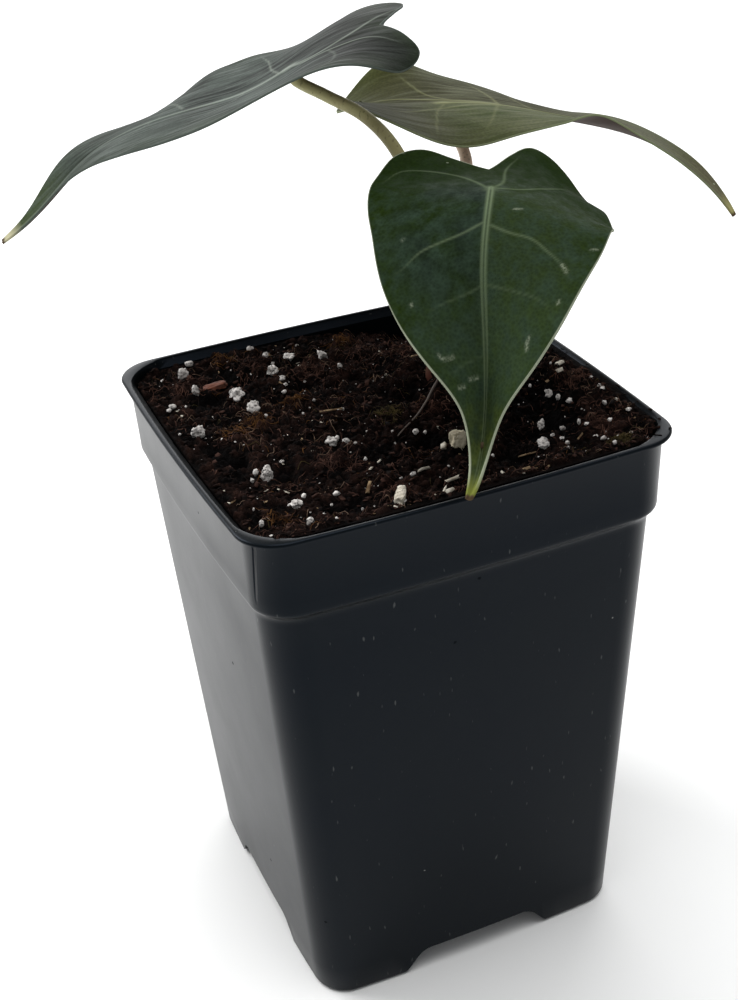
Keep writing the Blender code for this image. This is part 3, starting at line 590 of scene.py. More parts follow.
# The perlite
# Puffed volcanic glass, white and chalky, with pits where bubbles have burst. The large
# grains are one piece each; the crushed ones that lie between them are made as one.
# Place, half width and half height of each grain.
PERLITE = (
    (-33.3, 38.1, 1.25, 1.75), (-33.3, 28.3, 0.85, 1.6), (-25.6, 22.4, 1.75, 1.5),
    (-24.8, 14.0, 1.35, 1.65), (-39.6, 7.0, 1.3, 1.8), (-14.1, 30.6, 1.45, 1.1),
    (-8.0, 35.8, 1.4, 0.9), (-0.9, 32.9, 1.4, 1.25), (-15.2, -8.2, 1.3, 1.1),
    (-32.7, -16.8, 1.35, 1.8), (-31.9, -30.6, 1.4, 0.9), (33.2, -14.6, 0.9, 0.9),
    (25.9, -24.6, 0.75, 0.95), (21.7, -33.1, 1.15, 0.9),
)
PERLITE_SMALL = (
    (33.8, -17.9, 0.6, 0.7), (35.0, -20.6, 0.7, 0.6), (32.1, -8.5, 0.4, 0.4),
    (26.8, -23.5, 0.5, 0.8), (28.8, -28.6, 0.6, 0.6), (25.6, -30.0, 0.5, 0.4),
    (22.1, -31.8, 1.0, 0.8), (26.0, -33.2, 0.5, 0.7), (26.2, -35.1, 0.5, 0.5),
    (25.1, -37.3, 0.4, 0.4), (32.6, -28.8, 0.4, 0.7), (33.9, -29.8, 0.6, 0.3),
    (33.0, -34.8, 0.6, 0.5), (33.6, -37.0, 0.6, 0.5), (38.3, -31.6, 0.6, 0.4),
    (37.3, -30.9, 0.3, 0.4), (39.2, -38.6, 0.6, 0.4), (36.3, -38.2, 0.3, 0.5),
    (32.9, -42.4, 0.5, 0.6), (40.5, -25.9, 0.5, 0.5), (43.2, -15.9, 0.4, 0.6),
    (43.2, -26.2, 0.4, 0.4), (43.2, -31.2, 0.7, 0.3), (10.8, -31.5, 0.4, 0.4),
    (10.9, -38.9, 0.4, 0.3), (43.2, -19.2, 0.6, 0.3), (43.2, -20.8, 0.7, 0.4),
    (40.8, -2.1, 0.3, 0.4), (17.5, -38.6, 0.3, 0.2), (19.8, -41.8, 0.2, 0.2),
    (35.6, -34.6, 0.2, 0.2), (35.4, -25.1, 0.2, 0.2), (-30.3, 43.2, 1.1, 0.7),
    (-38.3, 37.8, 0.5, 0.4), (-31.7, 34.8, 0.4, 0.4), (-40.5, 23.1, 0.9, 0.6),
    (-41.7, 21.8, 0.6, 0.4), (-43.2, 8.9, 0.3, 0.3), (-37.7, 22.3, 0.3, 0.3),
    (-24.2, 24.8, 0.5, 0.5), (-23.5, 9.6, 0.5, 0.5), (-15.0, 43.0, 0.8, 0.8),
    (-13.2, 37.4, 0.7, 1.0), (-12.9, 33.4, 0.4, 0.4), (-13.5, 25.4, 0.7, 0.6),
    (-14.2, 21.8, 0.5, 0.4), (-15.5, 19.2, 0.6, 0.5), (-4.2, 40.3, 0.4, 0.4),
    (-1.0, 36.5, 0.5, 0.4), (-11.1, 12.0, 0.4, 0.4), (-13.2, 9.4, 0.2, 0.2), (-15.6, 7.3, 0.3, 0.3),
    (-8.9, 23.5, 0.3, 0.3), (0.5, 25.1, 0.7, 0.7), (-13.6, -7.2, 0.6, 0.5), (-7.2, 5.1, 0.5, 0.5),
    (-32.5, -40.2, 0.8, 0.9), (-23.3, -30.6, 0.7, 0.6), (-34.6, -15.0, 0.6, 0.9),
    (-36.2, -17.5, 0.4, 0.6), (-40.8, -35.7, 0.5, 0.8), (-12.2, -19.2, 0.4, 0.5),
    (2.0, -13.4, 0.6, 0.7), (3.7, -14.5, 0.4, 0.5), (-12.6, -9.8, 0.7, 0.7),
    (-11.0, -11.2, 0.4, 0.3), (-3.5, -14.8, 0.2, 0.2), (-5.2, -13.7, 0.2, 0.2),
    (-27.9, -12.3, 0.5, 0.4), (-1.9, -10.0, 0.4, 0.3), (-6.7, -7.4, 0.3, 0.3),
    (-28.3, -43.2, 0.3, 0.4), (-9.5, -31.0, 0.4, 0.3), (-7.3, -32.1, 0.6, 0.5),
    (-29.3, -28.1, 0.6, 0.5), (-21.9, -40.6, 0.3, 0.4), (-25.8, -34.2, 0.3, 0.3),
    (-40.9, -41.2, 0.4, 0.3), (-14.4, -43.2, 0.6, 0.3), (-15.5, -41.2, 0.2, 0.3),
    (-28.7, -37.1, 0.3, 0.3), (-40.3, -29.8, 0.2, 0.5),
)
PERLITE_FLECKS = 330

chalk, tree, shader, where = new_finish("expanded_perlite", Roughness=0.95)
# Porous glass foam: off-white, with painted shade making its pits, which are about 0.7 mm across,
# greyer.
pores = add_node(tree, "TexVoronoi", where, Scale=1500.0)
hollow = add_node(tree, "MapRange", pores, 0.1, 0.5)
stain = add_node(tree, "TexNoise", where, Scale=420.0, Detail=3.0)
grubby = add_node(tree, "MapRange", stain, 0.50, 0.68, To_Max=0.65)
# painted shade: grey in the pits, off-white between them
chalk_with_shaded_pits = add_node(tree, "Mix", hollow, "#85817e", "#d2cdc8", data_type="RGBA")
dirty = add_node(tree, "Mix", grubby, chalk_with_shaded_pits, "#4a423d", data_type="RGBA")
feed(shader, "Base Color", dirty)
pitted = add_node(tree, "Bump", Height=hollow, Strength=0.8, Distance=0.0003)
feed(shader, "Normal", pitted)


def add_pebble(bm, place, half, turn, detail, rough, sink=0.45, dents=0, blocky=1.0):
    """A rough pebble lying a little sunk in the soil, with burst hollows or flat sides."""
    x, y = place
    made = bmesh.ops.create_icosphere(bm, subdivisions=detail, radius=1.0)["verts"]
    hollows = [noise.random_unit_vector() for _ in range(dents)]
    for vertex in made:
        way = vertex.co.copy()
        bumpy = 1.0 + rough * noise.fractal(way * 1.3 + Vector((x, y, half[2])), 0.8, 2.0, 4)
        for hollow in hollows:
            bumpy -= 0.55 * max(0.0, way.dot(hollow) - 0.80) / 0.20
        vertex.co = [math.copysign(abs(w) ** blocky, w) * h * bumpy for w, h in zip(way, half)]
    bmesh.ops.rotate(bm, matrix=upright_turn(turn), verts=made)
    bmesh.ops.translate(bm, vec=(x, y, float(read_map(ground_map, x, y)) + sink * half[2]), verts=made)


noise.seed_set(4)
for number, (x, y, width, height) in enumerate(PERLITE, 1):
    bm = bmesh.new()
    half = (width, width * 0.85, height)
    add_pebble(bm, (x, y), half, 37.0 * number, detail=4, rough=0.42, sink=0.5, dents=4)
    grain_piece = settle(bm, f"perlite_grain_{number:02d}", chalk)
    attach(grain_piece, "root")
    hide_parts(f"perlite_{number:02d}")

bm = bmesh.new()
draw = np.random.default_rng(5)
for x, y, width, height in PERLITE_SMALL:
    half, turn = (width, width * 0.8, height), draw.uniform(-20.0, 20.0)
    add_pebble(bm, (x, y), half, turn, detail=2, rough=0.45, sink=0.9, dents=1)
for _ in range(PERLITE_FLECKS):
    x, y = draw.uniform(-42.5, 42.5, 2)
    size = draw.uniform(0.07, 0.24) * (1.0 if draw.uniform() < 0.85 else 1.6)
    made = bmesh.ops.create_icosphere(bm, subdivisions=1, radius=size)["verts"]
    bmesh.ops.scale(bm, vec=(1.0, draw.uniform(0.5, 0.9), draw.uniform(0.5, 0.9)), verts=made)
    bmesh.ops.rotate(bm, matrix=Matrix.Rotation(draw.uniform(0.0, math.pi), 3, "Z"), verts=made)
    bmesh.ops.translate(bm, vec=(x, y, top_of_soil(x, y) + size * draw.uniform(-0.1, 0.5)), verts=made)
crushed = settle(bm, "perlite_fines", chalk)
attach(crushed, "root")


# The larger wood chips
# Flakes of pale sapwood and one sliver of red bark, split along the grain and lying
# where they fell. Each has broken, ragged ends.
CHIPS = {
    "cream": ((6.8, -23.6), (1.75, 1.0, 2.7), 25.0, "wood_chip", "#dcd2b8", "#a69c80"),
    "pale": ((-14.2, -41.4), (2.6, 1.0, 1.5), 62.0, "wood_chip", "#d6cfc0", "#948c7a"),
    "reddish": ((-28.4, 29.6), (2.7, 1.1, 0.8), 12.0, "bark", "#77412a", "#3c1f14"),
}


def add_layers(tree, colour, *layers):
    """A colour with tints laid over it: source, its values at none and at most, most, tint."""
    for source, none, full, most, tint in layers:
        share = add_node(tree, "MapRange", source, none, full, To_Max=most)
        colour = add_node(tree, "Mix", share, colour, tint, data_type="RGBA")
    return colour


for name, (place, half, turn, slot, light, dark) in CHIPS.items():
    split, tree, shader, where = new_finish(f"split_wood_{name}", Roughness=0.8)
    # The grain runs along the chip, in bands about 0.4 mm wide.
    turned = (0.0, 0.0, math.radians(-turn))
    along = add_node(tree, "Mapping", where, Rotation=turned, Scale=(260.0, 2600.0, 1500.0))
    bands = add_node(tree, "TexNoise", along, Scale=1.0, Detail=3.0)
    feed(shader, "Base Color", add_layers(tree, dark, (bands, 0.35, 0.65, 1.0, light)))
    feed(shader, "Normal", add_node(tree, "Bump", Height=bands, Strength=0.7, Distance=0.0003))
    bm = bmesh.new()
    add_pebble(bm, place, half, turn, detail=4, rough=0.30, blocky=0.62)
    chip = settle(bm, f"wood_chip_{name}", split)
    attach(chip, "root")
    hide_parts(f"chip_{name}")


# The loose fibres
# Coir strands and fine roots teased out of the mix. They are about a fifth of a millimetre
# thick and 1 to 4 mm long, and lie in tufts that share a direction, with strays.
# For each tint: how many, its dark and light shade, and their radius.
FIBRES = {
    "dark": (1500, "#070504", "#201511", 0.11),
    "red": (1850, "#1f120f", "#5a4036", 0.095),
    "ochre": (330, "#2f1d11", "#664524", 0.085),
    "moss": (260, "#211c0f", "#4c4226", 0.08),
    "tan": (260, "#4a3a2d", "#867060", 0.075),
}
# How far from the middle loose things are strewn, and how far a fibre may reach.
SCATTER_HALF = 43.0
FIBRE_LIMIT = 44.4


def within(place, limit):
    """A place kept within a limit on either side of the middle."""
    return min(limit, max(-limit, place))


def add_strand(strands, x, y, heading, step, turn, arch):
    """A strand of six points that wanders over the ground and may arch off it."""
    strand = strands.splines.new("POLY")
    strand.points.add(5)
    for k, point in enumerate(strand.points):
        lift = 0.06 + arch * math.sin(math.pi * k / 5.0) + draw.uniform(-0.06, 0.10)
        point.co = (x * MM, y * MM, (top_of_soil(x, y) + lift) * MM, 1.0)
        point.radius = 1.0 - 0.1 * k
        heading += turn + draw.normal(0.0, 0.16)
        x = within(x + step * math.cos(heading), FIBRE_LIMIT)
        y = within(y + step * math.sin(heading), FIBRE_LIMIT)


def new_strands(name, radius, roundness, finish):
    """An empty curve for strands of one thickness, closed at their ends."""
    strands = bpy.data.curves.new(name, "CURVE")
    strands.dimensions = "3D"
    strands.bevel_depth = radius * MM
    strands.bevel_resolution = roundness
    strands.use_fill_caps = True
    strands.materials.append(finish)
    return strands


def strands_to_mesh(strands, name):
    """The strands as one mesh, placed round the pot's middle."""
    drawn = add_object("strands", strands)
    bpy.context.view_layer.update()
    mesh = bpy.data.meshes.new_from_object(drawn.evaluated_get(bpy.context.evaluated_depsgraph_get()))
    bpy.data.objects.remove(drawn, do_unlink=True)
    mesh.transform(Matrix.Translation(POT_CENTRE))
    mesh.shade_smooth()
    return add_object(name, mesh)


draw = np.random.default_rng(23)
# Tufts: place and direction. The first ones lie along the front wall, and the next along
# the right wall.
TUFTS = 230
FRONT_TUFTS = 26
WALL_TUFTS = 44
ranges = ((-SCATTER_HALF, SCATTER_HALF), (-SCATTER_HALF, SCATTER_HALF), (0.0, 2.0 * math.pi))
tufts = np.stack([draw.uniform(low, high, TUFTS) for low, high in ranges], 1)
tufts[:FRONT_TUFTS, 1] = -42.5
tufts[FRONT_TUFTS:WALL_TUFTS, 0] = 42.5
tufts[:WALL_TUFTS, 2] = np.where(np.arange(WALL_TUFTS) < FRONT_TUFTS, 0.0, math.pi / 2.0)
tufts = [tuft for tuft in tufts if read_map(crumb_map, tuft[0], tuft[1]) > -0.6]
for shade, (count, dark, light, radius) in FIBRES.items():
    fibre, tree, shader, where = new_finish(f"coir_{shade}", Roughness=0.85, IOR=1.15)
    # The tint drifts from strand to strand, over about 2.5 mm.
    drift = add_node(tree, "TexNoise", where, Scale=420.0, Detail=2.0)
    feed(shader, "Base Color", add_layers(tree, dark, (drift, 0.38, 0.66, 1.0, light)))
    strands = new_strands(f"fibres_{shade}", radius, 0, fibre)
    mats = [mat for mat in MATS if mat[3] == shade]
    for _ in range(count):
        lie = draw.uniform(0.0, 2.0 * math.pi)
        share = draw.uniform()
        if mats and share < (0.40 if shade == "red" else 0.80):
            x, y, reach, _ = mats[draw.integers(0, len(mats))]
            x, y = draw.normal(x, 0.55 * reach), draw.normal(y, 0.55 * reach)
        elif share < 0.90:
            x, y, lie = tufts[draw.integers(0, len(tufts))]
            x, y, lie = draw.normal(x, 1.6), draw.normal(y, 1.6), lie + draw.normal(0.0, 0.8)
        else:
            x, y = draw.uniform(-SCATTER_HALF, SCATTER_HALF, 2)
        x, y = within(x, 43.6), within(y, 43.6)
        step, turn, arch = draw.uniform(0.2, 0.85), draw.normal(0.0, 0.28), draw.uniform(0.0, 0.9) ** 2
        add_strand(strands, x, y, lie, step, turn, arch)
    tangle = strands_to_mesh(strands, f"coir_fibres_{shade}")
    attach(tangle, "root")

# One pale root runs from the foot of the stem towards the pot's left.
root_skin, tree, shader, where = new_finish("root_skin", Roughness=0.6)
earthy = add_node(tree, "TexNoise", where, Scale=600.0, Detail=3.0)
feed(shader, "Base Color", add_node(tree, "Mix", earthy, "#2e231c", "#5f5044", data_type="RGBA"))
strands = new_strands("root", 0.24, 2, root_skin)
strand = strands.splines.new("POLY")
ROOT_STEPS = 26
strand.points.add(ROOT_STEPS - 1)
for k, point in enumerate(strand.points):
    part_way = k / (ROOT_STEPS - 1)
    x = 16.5 - 18.5 * part_way
    y = 5.0 - 18.0 * part_way - 1.5 * math.sin(math.pi * part_way) ** 2
    z = float(read_map(ground_map, x, y)) + 1.1 + 0.5 * math.sin(5.0 * part_way)
    point.co = (x * MM, y * MM, z * MM, 1.0)
    point.radius = 1.3 - 0.8 * part_way
root = strands_to_mesh(strands, "surface_root")
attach(root, "root")


# The bark crumbs
# Fine composted bark in flat, angular flakes and granules, 0.3 to 4.6 mm long, dark brown
# to pale, scattered over the top; a few lie on the right side of the rim and in the
# drainage slots. For each tint: its dark and light shade, how many, and the most width.
CRUMBS = {
    "dark": ("#060404", "#180e0a", 820, 1.0),
    "brown": ("#140c0a", "#3c2a24", 620, 0.95),
    "tan": ("#4f3d2c", "#8a765c", 80, 0.6),
    "pale": ("#8d8678", "#cfc9bb", 46, 0.55),
}
# The larger flakes, by tint: place, length, width and turn.
FLAKES = {
    "tan": (
        (-17.0, -32.2, 2.6, 0.7, 45.0), (12.3, -42.4, 2.4, 1.2, -10.0),
        (18.1, 21.3, 2.2, 0.7, 15.0), (30.0, -33.8, 4.0, 0.4, 38.0),
        (41.5, -29.5, 4.0, 0.32, -41.0), (36.5, -8.5, 1.6, 0.6, 30.0),
        (17.8, -33.4, 3.6, 0.5, -30.0), (-9.6, 5.4, 4.6, 0.4, -16.0),
    ),
    "pale": (
        (-32.0, -23.2, 3.4, 0.5, -75.0), (-4.5, -31.1, 3.0, 1.3, -130.0),
        (-2.0, -39.3, 3.0, 0.7, 3.0), (-5.6, -42.6, 3.2, 0.7, 37.0), (-4.3, -42.8, 2.4, 1.1, 2.0),
        (-13.2, -24.5, 2.2, 0.6, 55.0), (3.9, -22.7, 2.4, 1.2, -112.0),
        (42.2, -3.8, 2.8, 1.2, 20.0), (39.2, -9.2, 1.9, 1.0, 13.0), (-7.6, 4.9, 1.0, 0.7, 10.0),
    ),
}
RIM_CRUMBS = (
    (45.9, -38.6), (46.6, -34.0), (46.4, -29.5), (45.8, -25.0), (46.9, -20.8), (46.2, -15.0),
    (45.6, -43.2), (46.7, -8.0), (46.3, 2.0),
)
for shade, (dark, light, count, most) in CRUMBS.items():
    crust, tree, shader, where = new_finish(f"bark_crumb_{shade}", Roughness=0.9, IOR=1.12)
    # Each crumb differs a little from the next; the tint changes over about 1.5 mm.
    drift = add_node(tree, "TexNoise", where, Scale=650.0, Detail=3.0)
    feed(shader, "Base Color", add_layers(tree, dark, (drift, 0.35, 0.65, 1.0, light)))
    bm = bmesh.new()
    # Beds: place, width, length over width, turn and height.
    beds = []
    for x, y, length, width, turn in FLAKES.get(shade, ()):
        beds.append((x, y, width, length / width, math.radians(turn), top_of_soil(x, y) + 0.4))
    for number in range(count):
        x, y = draw.uniform(-43.6, 43.6, 2)
        if number % 5 == 0:
            x, y = (draw.uniform(42.0, 44.6), y) if number % 2 else (x, draw.uniform(-44.6, -42.0))
        width, stretch = draw.uniform(0.25, most), draw.uniform(0.9, 2.4)
        beds.append((x, y, width, stretch, draw.uniform(0.0, math.pi), top_of_soil(x, y)))
    if shade == "dark":
        for x, y in RIM_CRUMBS:
            width, turn = draw.uniform(0.35, 0.75), draw.uniform(0.0, math.pi)
            beds.append((x, y, width, 1.5, turn, POT_HEIGHT + 0.15))
        for side in range(4):
            for many, left, right, inward, up in ((12, -9.5, 9.5, 6.5, 0.5), (7, -8.0, 6.0, 1.6, -0.2)):
                for _ in range(many):
                    across = draw.uniform(left, right)
                    spot = Vector((across, inward - BASE_WIDTH / 2.0, CHANNEL_HEIGHT + up))
                    x, y, z = upright_turn(90.0 * side) @ spot
                    beds.append((x, y, draw.uniform(0.4, 0.9), 1.4, draw.uniform(0.0, math.pi), z))
    for x, y, width, stretch, turn, height in beds:
        made = bmesh.ops.create_cube(bm, size=1.0)["verts"]
        for vertex in made:
            vertex.co = vertex.co * (1.0 + draw.uniform(-0.35, 0.25))
        bmesh.ops.scale(bm, vec=(width * stretch, width, width * draw.uniform(0.25, 0.6)), verts=made)
        tilt = Matrix.Rotation(draw.normal(0.0, 0.35), 3, "X")
        tilt = tilt @ Matrix.Rotation(draw.normal(0.0, 0.25), 3, "Y")
        bmesh.ops.rotate(bm, matrix=Matrix.Rotation(turn, 3, "Z") @ tilt, verts=made)
        bmesh.ops.translate(bm, vec=(x, y, height + 0.1 * width), verts=made)
    bevel(bm, bm.edges[:], 0.06, 1, clamp=True)
    scatter = settle(bm, f"bark_crumbs_{shade}", crust)
    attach(scatter, "root")


# The stem and its leaf stalks
# The short stem is wrapped in the papery, brown-red sheaths of the leaf stalks. Above them the stalks
# are round, firm and olive, with small dark flecks; where they join the blades they are painted a
# little lighter, a painted highlight against the blades' shade.
STEM_RADIUS = 5.0
STEM_SUNK = 9.0
PETIOLE_RADIUS = 1.3
SHEATH_RADIUS = 3.5
SHEATH_LENGTH = 22.0
RIB_THICKNESS = 1.5
# Places along each stalk, from inside the stem to below its blade.
ROUTES = {
    "left": (
        (19.6, 9.3, 122.0), (19.6, 9.6, 128.0), (20.5, 12.2, 141.0), (19.0, 15.0, 160.0),
        (14.9, 18.2, 176.4), (10.4, 23.6, 183.5), (4.6, 31.2, 187.4),
    ),
    "right": (
        (20.4, 9.3, 122.0), (20.8, 9.8, 128.0), (25.5, 14.8, 141.0), (33.0, 23.5, 157.0),
        (38.5, 33.0, 167.0), (39.8, 43.0, 171.5),
    ),
    "front": (
        (20.0, 8.7, 122.0), (20.0, 8.4, 128.0), (20.8, 5.6, 143.0), (20.6, -3.0, 160.0),
        (19.6, -13.0, 171.0),
    ),
}
# Each leaf's length, the place where it joins its stalk, factors for the width and the back
# lobe of its left and right side, and how far back a web joins the lobes. Then, in degrees
# at the stations along it, its heading, downward pitch and roll, and how its sides fold up
# and curl. Last, the height and phase of the waves of each margin.
STATIONS = (-0.4, 0.0, 0.25, 0.5, 0.75, 1.0)
HALF_WIDTH = 0.34
WAVES_PER_LENGTH = 3.0
LEAVES = {
    "left": {
        "length": 78.3,
        "junction": (-1.1, 38.1, 193.0),
        "width": (0.98, 1.08),
        "lobe": (1.01, 0.91),
        "web": 0.28,
        "heading": (294, 285, 295, 298, 283, 294),
        "pitch": (-6, 28, 12, 22, 43, 30),
        "roll": (-6, 2, 0, -1, -2, -12),
        "fold": ((-3, 2, 5, 1, 17, 18), (4, 3, 5, 1, 19, 30)),
        "curl": ((-28, 12, -4, -5, -29, -11), (-24, -13, -1, -24, -32, -3)),
        "wave": ((-0.3, 0.26), (0.7, 0.04)),
    },
    "right": {
        "length": 82.4,
        "junction": (40.2, 48.7, 176.4),
        "width": (1.02, 1.01),
        "lobe": (0.66, 0.97),
        "web": 0.25,
        "heading": (98, 95, 100, 114, 128, 140),
        "pitch": (18, 7, 16, 16, 34, 55),
        "roll": (-19, -1, -2, -2, -4, 4),
        "fold": ((-25, 0, 1, -1, 4, 14), (0, 0, 5, 6, 8, 6)),
        "curl": ((18, 15, -9, -15, -14, -14), (-21, -10, 2, 28, -7, -5)),
        "wave": ((-1.1, 0.01), (0.4, 0.07)),
    },
    "front": {
        "length": 69.2,
        "junction": (18.8, -17.8, 177.8),
        "width": (1.03, 1.0),
        "lobe": (1.19, 0.98),
        "web": 0.24,
        "heading": (197, 209, 213, 205, 216, 226),
        "pitch": (10, -4, 32, 60, 61, 14),
        "roll": (-8, -2, 4, 9, 4, 1),
        "fold": ((3, -5, -4, 20, 52, 47), (-4, -4, 2, 18, 63, 44)),
        "curl": ((-39, -21, -12, -7, -14, -4), (16, -3, -15, -15, -11, -5)),
        "wave": ((-0.9, 0.15), (-0.4, -0.03)),
    },
}


def smooth(stations, values, at):
    """A smooth reading between stations, through each one's value."""
    x, y = np.asarray(stations, float), np.asarray(values, float)
    step = np.diff(x)
    slope = np.diff(y) / step
    inner = (slope[:-1] * step[1:] + slope[1:] * step[:-1]) / (step[:-1] + step[1:])
    tangent = np.concatenate([slope[:1], inner, slope[-1:]])
    k = np.clip(np.searchsorted(x, at) - 1, 0, len(step) - 1)
    t = np.clip((at - x[k]) / step[k], 0.0, 1.0)
    lean = tangent[k] * t * (1.0 - t) ** 2 - tangent[k + 1] * t * t * (1.0 - t)
    return y[k] + (y[k + 1] - y[k]) * t * t * (3.0 - 2.0 * t) + lean * step[k]


def smooth_route(points, count):
    """Evenly spaced places along a smooth curve through the points, and its length."""
    knots = np.array([tuple(p) for p in points])
    pace = np.sqrt(np.linalg.norm(np.diff(knots, axis=0), axis=1))
    stations = np.concatenate([[0.0], np.cumsum(pace)])
    at = np.linspace(0.0, stations[-1], 400)
    dense = np.stack([smooth(stations, knots[:, k], at) for k in range(3)], 1)
    reach = np.concatenate([[0.0], np.cumsum(np.linalg.norm(np.diff(dense, axis=0), axis=1))])
    wanted = np.linspace(0.0, reach[-1], count)
    columns = [np.interp(wanted, reach, dense[:, k]) for k in range(3)]
    return [Vector(p) for p in zip(*columns)], reach[-1]


def posture(leaf, u):
    """Heading and roll along the leaf, in radians, and the way its midrib points."""
    heading, pitch, roll = (
        np.radians(smooth(STATIONS, leaf[key], u)) for key in ("heading", "pitch", "roll")
    )
    level = np.cos(pitch)
    ahead = np.stack([level * np.sin(heading), level * np.cos(heading), -np.sin(pitch)], -1)
    return heading, roll, ahead


def midrib(leaf):
    """Places along the midrib, found by following its heading and pitch."""
    u = np.linspace(-0.5, 1.0, 301)
    _, _, ahead = posture(leaf, u)
    walked = np.cumsum((ahead[1:] + ahead[:-1]) / 2.0 * (u[1] - u[0]) * leaf["length"], axis=0)
    places = np.concatenate([np.zeros((1, 3)), walked])
    zero = [np.interp(0.0, u, places[:, k]) for k in range(3)]
    return u, places - zero + np.array(leaf["junction"])


def bent(leaf, u, v):
    """Places and upward normals of flat leaf points (along, across) after bending."""
    u, v = np.atleast_1d(u).astype(float), np.atleast_1d(v).astype(float)
    stations, route = midrib(leaf)
    base = np.stack([np.interp(u, stations, route[:, k]) for k in range(3)], -1)
    heading, roll, ahead = posture(leaf, u)
    right = np.stack([np.cos(heading), -np.sin(heading), np.zeros_like(heading)], -1)
    up = np.cross(right, ahead)
    cosine, sine = np.cos(roll)[:, None], np.sin(roll)[:, None]
    across, normal = right * cosine - up * sine, right * sine + up * cosine
    fold, curl, ripple = [], [], []
    for side in (0, 1):
        fold.append(np.radians(smooth(STATIONS, leaf["fold"][side], u)))
        curl.append(np.radians(smooth(STATIONS, leaf["curl"][side], u)))
        height, phase = leaf["wave"][side]
        ripple.append(height * np.sin(2.0 * np.pi * (WAVES_PER_LENGTH * u + phase)))
    left = v < 0.0
    bend = np.where(left, curl[0], curl[1]) * np.abs(v) / HALF_WIDTH / 2.0
    chord = np.abs(v) * leaf["length"] * np.sinc(bend / np.pi)
    angle = np.where(left, fold[0], fold[1]) + bend
    wave = np.where(left, ripple[0], ripple[1]) * np.minimum(np.abs(v) / HALF_WIDTH, 1.2) ** 2
    out = np.sign(v) * chord * np.cos(angle)
    rise = chord * np.sin(angle) + wave
    lean = np.sign(v) * np.sin(angle)
    facing = normal * np.cos(angle)[:, None] - across * lean[:, None]
    return base + across * out[:, None] + normal * rise[:, None], facing


def route_to_blade(side):
    """A petiole's route, ended square to the underside of its blade."""
    leaf = LEAVES[side]
    around, _ = bent(leaf, [0.03, -0.03, 0.0, 0.0], [0.0, 0.0, 0.02, -0.02])
    normal = Vector(np.cross(around[2] - around[3], around[0] - around[1])).normalized()
    end = Vector(leaf["junction"]) - normal * RIB_THICKNESS
    return [*ROUTES[side], end - normal * 1.8, end - normal * 0.4, end + normal * 0.3]


def add_tube(bm, points, radii, sides):
    """A round tube swept through the points, closed at both ends."""
    rings = []
    frame_x = Vector((1.0, 0.0, 0.0))
    for i, (point, radius) in enumerate(zip(points, radii)):
        ahead = (points[min(i + 1, len(points) - 1)] - points[max(i - 1, 0)]).normalized()
        frame_x = (frame_x - ahead * frame_x.dot(ahead)).normalized()
        frame_y = ahead.cross(frame_x)
        turned = Matrix((frame_x, frame_y, ahead)).transposed().to_4x4()
        placed = Matrix.Translation(point) @ turned
        ring = bmesh.ops.create_circle(bm, segments=sides, radius=radius, matrix=placed)["verts"]
        rings.append(list({edge for vertex in ring for edge in vertex.link_edges}))
    for lower, upper in zip(rings, rings[1:]):
        bmesh.ops.bridge_loops(bm, edges=lower + upper)
    bmesh.ops.contextual_create(bm, geom=rings[0])
    bmesh.ops.contextual_create(bm, geom=rings[-1])


stalk, tree, shader, where = new_finish("leaf_stalk_skin", Roughness=0.5, IOR=1.30)
# Waxy living skin. The sheaths are brown-red near the soil and the stalks olive-tan above, with a
# pinkish bloom in places; the dark flecks are about 0.7 mm across and 1.5 mm long. The tan, the paler
# olive just below the blades and the palest tint on the right stalk are partly painted light, set
# against the shade that the blades cast on the stalks.
spot = add_node(tree, "SeparateXYZ", where)
high = spot.outputs["Z"]
warmth = add_node(tree, "TexNoise", where, Scale=110.0, Detail=3.0)
stretched = add_node(tree, "Mapping", where, Scale=(1500.0, 1500.0, 650.0))
fine = add_node(tree, "TexNoise", stretched, Scale=1.0, Detail=2.0)
skin = add_layers(
    tree, "#4a241b",
    # tan, partly painted light: made paler for the shaded right stalk
    (high, 0.130, 0.152, 1.0, "#dcc6a4"),
    (high, 0.160, 0.176, 1.0, "#87815a"),
    # painted highlight: paler olive just below the blades, where they shade the stalks
    (high, 0.1825, 0.186, 1.0, "#b0ac7c"),
    # painted light: the right stalk, shaded by its blade, is painted palest
    (spot.outputs["X"], POT_CENTRE.x + 0.031, POT_CENTRE.x + 0.036, 1.0, "#ead2b8"),
    (warmth, 0.48, 0.75, 0.30, "#957862"),
    (fine, 0.60, 0.70, 0.50, "#453f2a"),
)
feed(shader, "Base Color", skin)
feed(shader, "Normal", add_node(tree, "Bump", Height=fine, Strength=0.2, Distance=0.0002))

stem_floor = float(soil_height(*STEM)) - STEM_SUNK
bm = bmesh.new()
stem_line = [Vector((*STEM, stem_floor + up)) for up in (0.0, 3.0, 6.0, 9.0, 11.0, 13.0, 14.5, 15.0)]
add_tube(bm, stem_line, [STEM_RADIUS * 0.96, STEM_RADIUS, 4.9, 4.6, 4.2, 3.8, 3.2, 2.4], 32)
petioles = {}
STALK_POINTS = 110
STALK_SIDES = 24
for side in ROUTES:
    points, length = smooth_route(route_to_blade(side), STALK_POINTS)
    low_end = [p for i, p in enumerate(points) if length * i / (STALK_POINTS - 1) <= SHEATH_LENGTH]
    taper = np.linspace(SHEATH_RADIUS, PETIOLE_RADIUS * 1.28, len(low_end))
    add_tube(bm, low_end, taper, STALK_SIDES)
    slim = np.linspace(PETIOLE_RADIUS * 1.18, PETIOLE_RADIUS, STALK_POINTS + 1 - len(low_end))
    flare = np.clip((np.arange(len(slim)) - len(slim) + 5) / 4.0, 0.0, 1.0)
    petioles[side] = (points[len(low_end) - 1:], slim * (1.0 + 0.25 * flare))
bmesh.ops.recalc_face_normals(bm, faces=bm.faces)
stem = settle(bm, "stem_and_sheaths", stalk)
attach(stem, "root")
